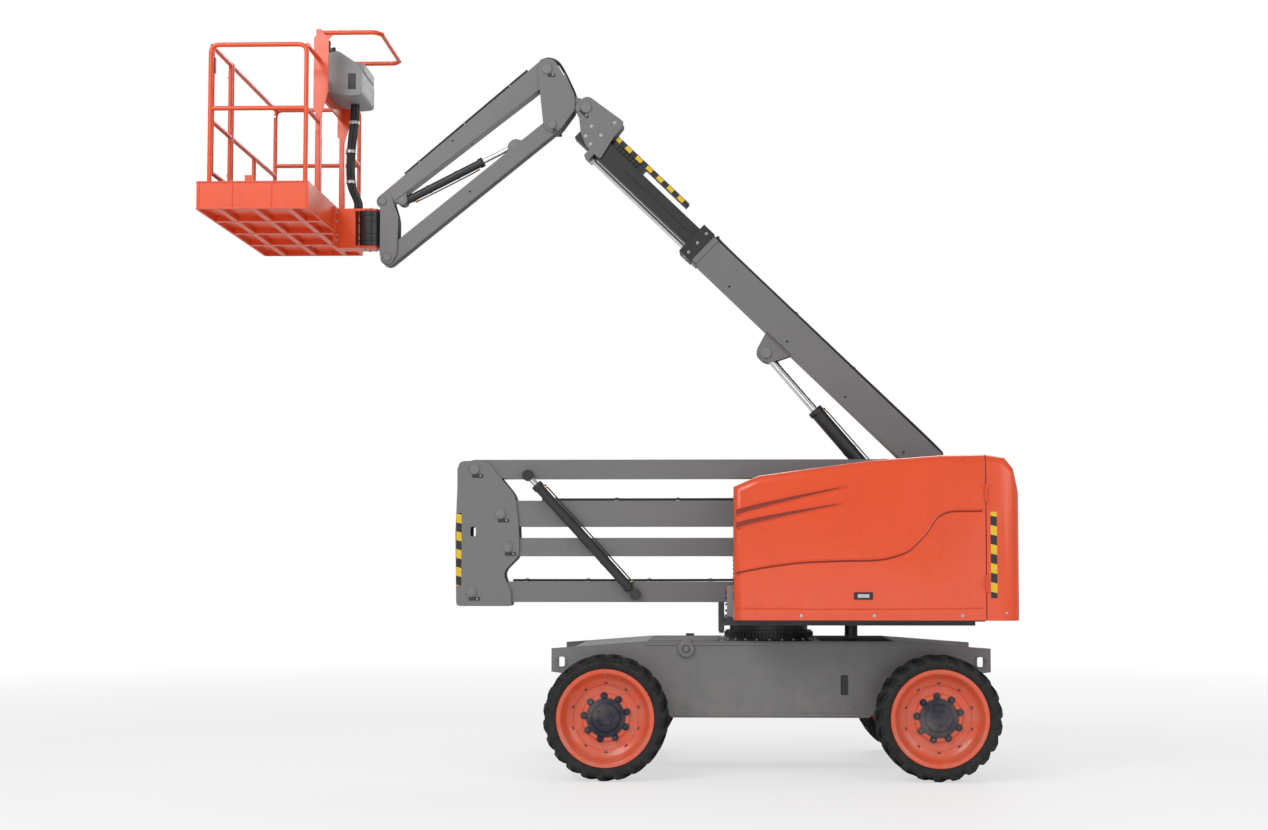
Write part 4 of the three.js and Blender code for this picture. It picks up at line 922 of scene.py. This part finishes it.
b = Piece("boom_base_details", "boom_base", BOOM)
for s in (-1, 1):
    y = s * 90
    b.paint("grey")
    b.plate([(60, -112), (60, 112), (-260, 112), (-330, 60), (-330, -60), (-260, -112)], (y, y + s * 0.7))
    b.paint("steel")
    b.bolt((-2500, s * 105, 96), (0, s, 0), 8, 6)
    b.bolt((-2500, s * 105, -96), (0, s, 0), 8, 6)
    b.bolt((-2500, s * 105, 0), (0, s, 0), 8, 6)
    for x in (-300, -900, -1500, -2100):
        b.paint("knob").ring([(0, 0), (9, 0), (9, 2), (0, 3)], (x, y, -70), (0, s, 0), 16)
    b.paint("pin").ring([(0, 0), (44, 0), (44, 8), (38, 13), (0, 13)], (-1557, s * 56.8, -237), (0, s, 0), 32)
b.paint("steel")
for y in (-60, 60):
    b.bolt((-2505, y, 135), (0, 0, 1), 8, 6)
    b.bolt((-2505, y, -135), (0, 0, -1), 8, 6)
b.paint("hose")
for i, y in enumerate((-74, -54, 54, 74)):
    b.tube([(-80, y, 120), (-220, y, 132), (-1200, y, 130), (-2300, y, 130), (-2420, y * 0.95, 146)], 9, 10)
b.paint("steel")
for x in (-400, -1000, -1600):
    b.box((x - 12, x + 12), (-82, 82), (139, 143), 1)
    b.bolt((x, 0, 120), (0, 0, 1), 7, 24, False)
b.paint("grey")
for s in (-1, 1):
    b.box((-2442, -2400), (s * 90.3, s * 97), (-127, 127), 1)
    b.box((-2442, -2400), (-97, 97), (s * 120.3, s * 127.5), 1)
b.done()

f = Piece("boom_fly_details", "boom_fly", BOOM)
f.paint("hazard_boom")
for s in (-1, 1):
    f.box((-3505, -2770), (s * 35, s * 36.2), (146, 178), 0.4)
f.paint("steel")
for x in range(-3480, -2780, 46):
    f.paint("knob").box((x - 17, x + 17), (-26, 26), (148, 170), 3)
for x in range(-3466, -3180, 34):
    f.paint("knob").box((x - 14, x + 14), (-30, 30), (102, 144), 4)
f.paint("hose")
for y in (-18, 0, 18):
    f.tube([(-3190, y, 122), (-3300, y, 124), (-3480, y, 126), (-3560, y, 130), (-3640, y, 134)],
           12, 10)
for s in (-1, 1):
    y = s * 77
    f.paint("pin").ring([(0, 0), (40, 0), (40, 8), (35, 12), (0, 12)], (-3830, y, 165), (0, s, 0), 36)
    f.paint("black").box((-3850, -3770), (y, y + s * 7), (108, 130), 2)
    f.paint("steel").bolt((-3785, y + s * 7, 119), (0, s, 0), 7, 5, False)
    for x, z in ((-3680, 5), (-3610, -15), (-3600, 90), (-3700, 90), (-3590, 230)):
        f.paint("steel").bolt((x, y, z), (0, s, 0), 9, 7)
    f.paint("seal").box((-3300, -2620), (s * 60, s * 60.7), (12, 28))
f.paint("steel").ring([(18.2, 0), (30, 0), (32, 4), (32, 24), (30, 28), (18.2, 28)],
                      (-3511, 0, -83), (-1, 0, 0), 28, closed=True)
f.done()

# ---- jib

k = Piece("jib_knuckle_details", "jib_knuckle", NOSE)
for x, z, r in ((-298, 301, 40), (-258, -129, 32)):
    for s in (-1, 1):
        y = s * 77
        k.paint("pin").ring([(0, 0), (r, 0), (r, 8), (r - 5, 12), (0, 12)], (x, y, z), (0, s, 0), 36)
        k.paint("black").box((x + 5, x + 60), (y, y + s * 6), (z - r - 22, z - r - 2), 2)
        k.paint("steel").bolt((x + 46, y + s * 6, z - r - 12), (0, s, 0), 6, 5, False)
k.paint("hose")
for y in (-28, -8, 12):
    k.tube([(-78, y, 30), (-88, y, 110), (-122, y, 190), (-176, y, 300), (-222, y, 364), (-290, y, 392),
            (-356, y, 372)], 10, 10)
k.done()

j = Piece("jib_arm_details", "jib_arm", JIB)
j.paint("hose")
for y in (-30, -8, 14):
    j.tube([(-120, y, 98), (-500, y, 90), (-1000, y, 78), (-1340, y, 69)], 9, 10)
j.paint("steel")
for x in (-300, -750, -1200):
    top = 85 + x * 35 / 1600
    j.box((x - 12, x + 12), (-46, 32), (top + 18, top + 22), 1)
    j.bolt((x, -46, top), (0, 0, 1), 6, 22, False)
for s in (-1, 1):
    j.paint("pin").ring([(0, 0), (30, 0), (30, 3), (27, 4.5), (0, 4.5)], (-1480, s * 55, -88), (0, s, 0), 28)
    j.paint("knob").ring([(0, 0), (8, 0), (8, 2), (0, 3)], (-900, s * 60.2, 30), (0, s, 0), 16)
j.done()

l = Piece("jib_link_details", "jib_link", JIB_LINK)
for s in (-1, 1):
    l.paint("pin").ring([(0, 0), (28, 0), (28, 0.5), (0, 0.5)], (-320, s * 60.2, 75), (0, s, 0), 28)
    l.paint("knob").ring([(0, 0), (9, 0), (9, 0.6), (0, 0.6)], (-800, s * 60.2, 0), (0, s, 0), 16)
l.done()

p = Piece("bracket_details", "platform_bracket", LEVEL)
for x, z, r in ((0, 0, 30), (40, -430, 30)):
    for s in (-1, 1):
        p.paint("pin").ring([(0, 0), (r, 0), (r, 7), (r - 4, 11), (0, 11)], (x, s * 77, z), (0, s, 0), 32)
p.paint("steel")
for z in (-300, -240, -180, -120):
    p.bolt((-3, -60 if z % 120 else -50, z), (1, 0, 0), 7, 6)
    p.bolt((-3, 60 if z % 120 else 50, z), (1, 0, 0), 7, 6)
p.paint("iron").rod((-104, 0, -350), (-104, 0, -338), 60, 36)
for z in (-300, -250, -160, -110):
    p.paint("black").ring([(85.2, 0), (89, 2), (89, 12), (85.2, 14)], (-104, 0, z), (0, 0, 1), 48, closed=True)
p.paint("copper").rod((-60, 72, -200), (-60, 96, -200), 9, 14)
p.paint("hose").tube([(-60, 92, -200), (-20, 110, -190), (30, 100, -120), (40, 92, -60)], 9, 10)
p.done()

# ---- platform


def rails_piece(node, body, runs, key="orange", radius=16.2, feet=()):
    r = Piece(node + "_tubes", body, PLATFORM).paint(key)
    for points, bend in runs:
        if len(points) == 2:
            r.sweep([Vector(points[0]), Vector(points[1])], radius, 20)
        else:
            r.bent(points, radius, bend, 20)
    for x, y in feet:
        r.paint("orange").box((x - 30, x + 30), (y - 24, y + 24), (0.5, 8), 2)
        r.paint("steel").bolt((x - 22, y, 8), (0, 0, 1), 5, 4).bolt((x + 22, y, 8), (0, 0, 1), 5, 4)
    return r


LEFT, RIGHT, POST_Y, TOP, MID = -975, -287, 880, 1143, 683
for side, s in (("right", -1), ("left", 1)):
    y = s * POST_Y
    r = rails_piece(f"rails_{side}", "platform", [
        ([(LEFT, y, 1), (LEFT, y, TOP), (RIGHT, y, TOP), (RIGHT, y, 1)], 60),
        ([(LEFT + 10, y, MID), (RIGHT - 10, y, MID)], 0),
    ], feet=[(LEFT + 8, y - s * 6), (RIGHT - 6, y - s * 6)])
    r.paint("steel").rod((LEFT, y - s * 17, TOP - 60), (LEFT, y - s * 30, TOP - 60), 9, 14)
    r.paint("orange").box((-720, -660), (y - 3, y + 3), (60, 200), 1)
    r.done(replaces=f"rails_{side}")

r = rails_piece("rails_front", "platform", [
    ([(LEFT, -350, 1), (LEFT, -350, TOP + 16)], 0),
    ([(LEFT, -350, TOP), (LEFT, 863, TOP)], 0),
    ([(LEFT, -350, 600), (LEFT, 863, 600)], 0),
    ([(LEFT, 260, 600), (LEFT, 260, 150)], 0),
], feet=[(LEFT + 8, -350)])
r.paint("knob").ring([(0, 0), (15, 0), (13, 4), (0, 5)], (LEFT, -350, TOP + 15), (0, 0, 1), 20)
r.done(replaces="rails_front")

g = rails_piece("platform_gate", "gate", [
    ([(LEFT, -390, 216), (LEFT, -390, TOP + 14)], 0),
    ([(LEFT, -840, 216), (LEFT, -840, TOP + 14)], 0),
    ([(LEFT, -390, TOP), (LEFT, -840, TOP)], 0),
    ([(LEFT, -390, 600), (LEFT, -840, 600)], 0),
    ([(LEFT, -390, 230), (LEFT, -840, 230)], 0),
])
g.paint("steel")
for z in (290, 1023):
    g.box((LEFT - 8, LEFT + 8), (-390, -367), (z, z + 40), 2)
    g.bolt((LEFT - 16, -390, z + 20), (-1, 0, 0), 6, 5, False)
g.paint("knob").box((LEFT - 20, LEFT + 20), (-846, -812), (TOP - 190, TOP - 80), 5)
g.paint("red").box((LEFT - 26, LEFT - 18), (-836, -822), (TOP - 150, TOP - 110), 2)
g.done(replaces="platform_gate")

q = Piece("console_guard_tubes", "platform", PLATFORM).paint("orange")
for y in (-500, 280):
    q.box((RIGHT - 20, RIGHT + 20), (y - 30, y + 30), (0.5, 1366), 8)
    q.bent([(RIGHT, y, 1345), (125, y, 1345), (165, y + (60 if y < 0 else -60), 1345)], 16.2, 30, 18)
q.sweep([Vector((165, -445, 1345)), Vector((165, 225, 1345))], 16.2, 18)
for end, y in ((-863, -500), (863, 280)):
    for z in (TOP, MID):
        q.sweep([Vector((RIGHT, y, z)), Vector((RIGHT, end, z))], 16.2, 18)
q.box((RIGHT - 10, RIGHT + 10), (-500, 280), (880, 1060), 3)
q.paint("steel")
for y in (-440, -300, 100, 220):
    for z in (905, 1035):
        q.bolt((RIGHT - 10, y, z), (-1, 0, 0), 7, 5)
q.paint("orange")
for y in (-500, 280):
    q.plate([(RIGHT - 34, 760), (RIGHT + 20, 700), (RIGHT + 76, 900), (RIGHT + 76, 1300), (RIGHT + 20, 1350),
             (RIGHT - 34, 1300)], (y - 33, y - 28), 1)
    q.plate([(RIGHT + 20, 1250), (RIGHT + 20, 1330), (RIGHT + 100, 1330)], (y - 4, y + 4), 1)
q.done(replaces="console_frame")

w = Piece("console_details", "platform", PLATFORM)
w.paint("knob").box((-340, -215), (-285, 135), (1229, 1236), 3)
for y in (-230, -60, 90):
    w.ring([(0, 0), (30, 0), (26, 14), (14, 24), (12, 80), (18, 92), (17, 120), (0, 126)],
           (-270, y, 1248), (-0.15, 0, 1), 28)
w.paint("red").ring([(0, 0), (20, 0), (22, 10), (18, 16), (0, 18)], (-320, -150, 1236), (0, 0, 1), 28)
w.paint("green").ring([(0, 0), (10, 0), (10, 6), (0, 7)], (-320, 20, 1236), (0, 0, 1), 18)
w.paint("steel")
for i in range(7):
    w.rod((-322, -110 + i * 24, 1236), (-322, -110 + i * 24, 1250), 4, 10)
w.paint("plastic").box((-60, -8), (-260, 110), (1120, 1190), 8)
w.paint("knob").box((-120, -60), (-300.5, -296), (980, 1100), 2)
w.paint("steel")
for y in (-280, 130):
    for z in (1080, 1200):
        w.bolt((-346, y, z), (-1, 0, 0), 5, 4)
w.paint("plastic").rod((-140, 151, 1100), (-140, 200, 1100), 60, 32)
w.paint("knob").rod((-140, 200, 1100), (-140, 212, 1100), 44, 28)
w.done()

tr = Piece("tray_details", "platform", PLATFORM)
tr.paint("tread_plate").box((-1040, -270), (-900, 900), (0.2, 3.5), 1)
tr.paint("orange")
for s in (-1, 1):
    y = s * 915
    tr.box((-1050, -260), (y, y + s * 5), (140, 150), 2)
    tr.box((-1050, -260), (y, y + s * 5), (-50, -40), 2)
    for x in (-1040, -800, -520, -270):
        tr.box((x - 5, x + 5), (y, y + s * 4), (-40, 140), 1.5)
tr.box((-1062, -1055), (-905, 905), (138, 150), 2)
tr.box((-1062, -1055), (-905, 905), (-50, -38), 2)
for x in (-900, -650, -400):
    tr.box((x - 22, x + 22), (-900, 900), (-48, -13), 2)
tr.paint("knob").box((-560, -400), (-520, -360), (4, 60), 10)
tr.paint("steel")
for y in (-120, 120):
    for z in (-120, -80, 20, 90):
        tr.bolt((-234.5, y, z), (1, 0, 0), 8, 7)
tr.done()

hb = Piece("platform_hoses", "platform", PLATFORM).paint("hose")
for i in range(7):
    a = 2 * math.pi * i / 7
    dx, dy = 22 * math.cos(a), 22 * math.sin(a)
    hb.tube([(-120 + dx, -40 + dy, 940), (-125 + dx * 1.1, -40 + dy * 1.1, 800), (-150 + dx, -30 + dy, 560),
             (-150 + dx, -10 + dy, 330), (-100 + dx, dy, 190), (-100 + dx, dy, 129)], 12, 12, 10)
hb.paint("steel")
for z, x, y in ((780, -127, -39), (560, -150, -30), (330, -150, -10)):
    hb.ring([(35, 0), (39, 0), (39, 22), (35, 22)], (x, y, z), (0, 0, 1), 32, closed=True)
hb.done(replaces="hose_bundle")

y = Piece("yoke_details", "platform", PLATFORM).paint("steel")
y.bolts((0, 0, 128.2), (0, 0, 1), 52, 6, 8, 7)
y.bolts((0, 0, -173.2), (0, 0, -1), 52, 6, 8, 7)
y.done()

# ---- floor, lights and camera

SKY = 0.46
FLOOR_GLOW = 0.6

floor_mesh = bpy.data.meshes.new("floor")
fb = bmesh.new()
bmesh.ops.create_grid(fb, x_segments=1, y_segments=1, size=60)
fb.to_mesh(floor_mesh)
fb.free()
floor = bpy.data.objects.new("floor", floor_mesh)
bpy.context.scene.collection.objects.link(floor)
n = Nodes("studio_floor")
n.set("Base Color", n.mix(n.remap(n.noise(0.4, 3), 0.3, 0.7), (0.90, 0.90, 0.905), (0.93, 0.93, 0.935)))
n.set("Roughness", 0.55)
n.set("Specular IOR Level", 0.25)

# The floor glows a little to the camera and fades to white far out, so that no horizon shows.
place = n.add("ShaderNodeVectorMath", operation="LENGTH")
n.put(place.inputs[0], n.coords)
far = n.remap(place.outputs["Value"], 5.0, 15.0, FLOOR_GLOW, 1.0)
seen = n.add("ShaderNodeLightPath").outputs["Is Camera Ray"]
white = n.add("ShaderNodeEmission")
blend = n.add("ShaderNodeMixShader")
n.put(blend.inputs[0], n.math("MULTIPLY", far, seen))
n.put(blend.inputs[1], n.shader.outputs[0])
n.put(blend.inputs[2], white.outputs[0])
n.put(n.tree.nodes["Material Output"].inputs["Surface"], blend.outputs[0])
floor_mesh.materials.append(n.material)

world = bpy.data.worlds.new("studio")
bpy.context.scene.world = world
world.use_nodes = True
background = world.node_tree.nodes["Background"]
background.inputs["Color"].default_value = (1.0, 1.0, 1.0, 1)
rays = world.node_tree.nodes.new("ShaderNodeLightPath")
strength = world.node_tree.nodes.new("ShaderNodeMapRange")
strength.inputs["To Min"].default_value = SKY
strength.inputs["To Max"].default_value = 1.0
world.node_tree.links.new(rays.outputs["Is Camera Ray"], strength.inputs["Value"])
world.node_tree.links.new(strength.outputs["Result"], background.inputs["Strength"])


def area(name, place, target, size, power):
    light = bpy.data.lights.new(name, "AREA")
    light.shape = "RECTANGLE"
    light.size, light.size_y = size
    light.energy = power
    obj = bpy.data.objects.new(name, light)
    bpy.context.scene.collection.objects.link(obj)
    obj.location = place
    obj.rotation_mode = "QUATERNION"
    obj.rotation_quaternion = (Vector(target) - Vector(place)).to_track_quat("-Z", "Y")


centre = Vector((0.3, 0, 2.2))
area("key", (-5.5, -9.0, 9.5), centre, (6, 6), 620)
area("fill", (8.5, -9.0, 5.0), centre, (6, 5), 230)
area("rim_light", (3.0, 9.0, 9.0), centre, (8, 5), 380)
area("low_front", (0.5, -10.0, 1.2), (0.5, 0, 1.2), (9, 2), 60)

camera_data = bpy.data.cameras.new("camera")
camera_data.sensor_width = 36
camera_data.lens = 49.16
camera_data.shift_x = -0.041
camera_data.shift_y = 0.053
camera_data.clip_end = 200
camera = bpy.data.objects.new("camera", camera_data)
bpy.context.scene.collection.objects.link(camera)
camera.location = (SHIFT - 0.277, -12.99, 1.422)
camera.rotation_euler = (math.radians(93), 0, math.radians(1.5))
bpy.context.scene.camera = camera
bpy.context.scene.view_settings.view_transform = "Standard"
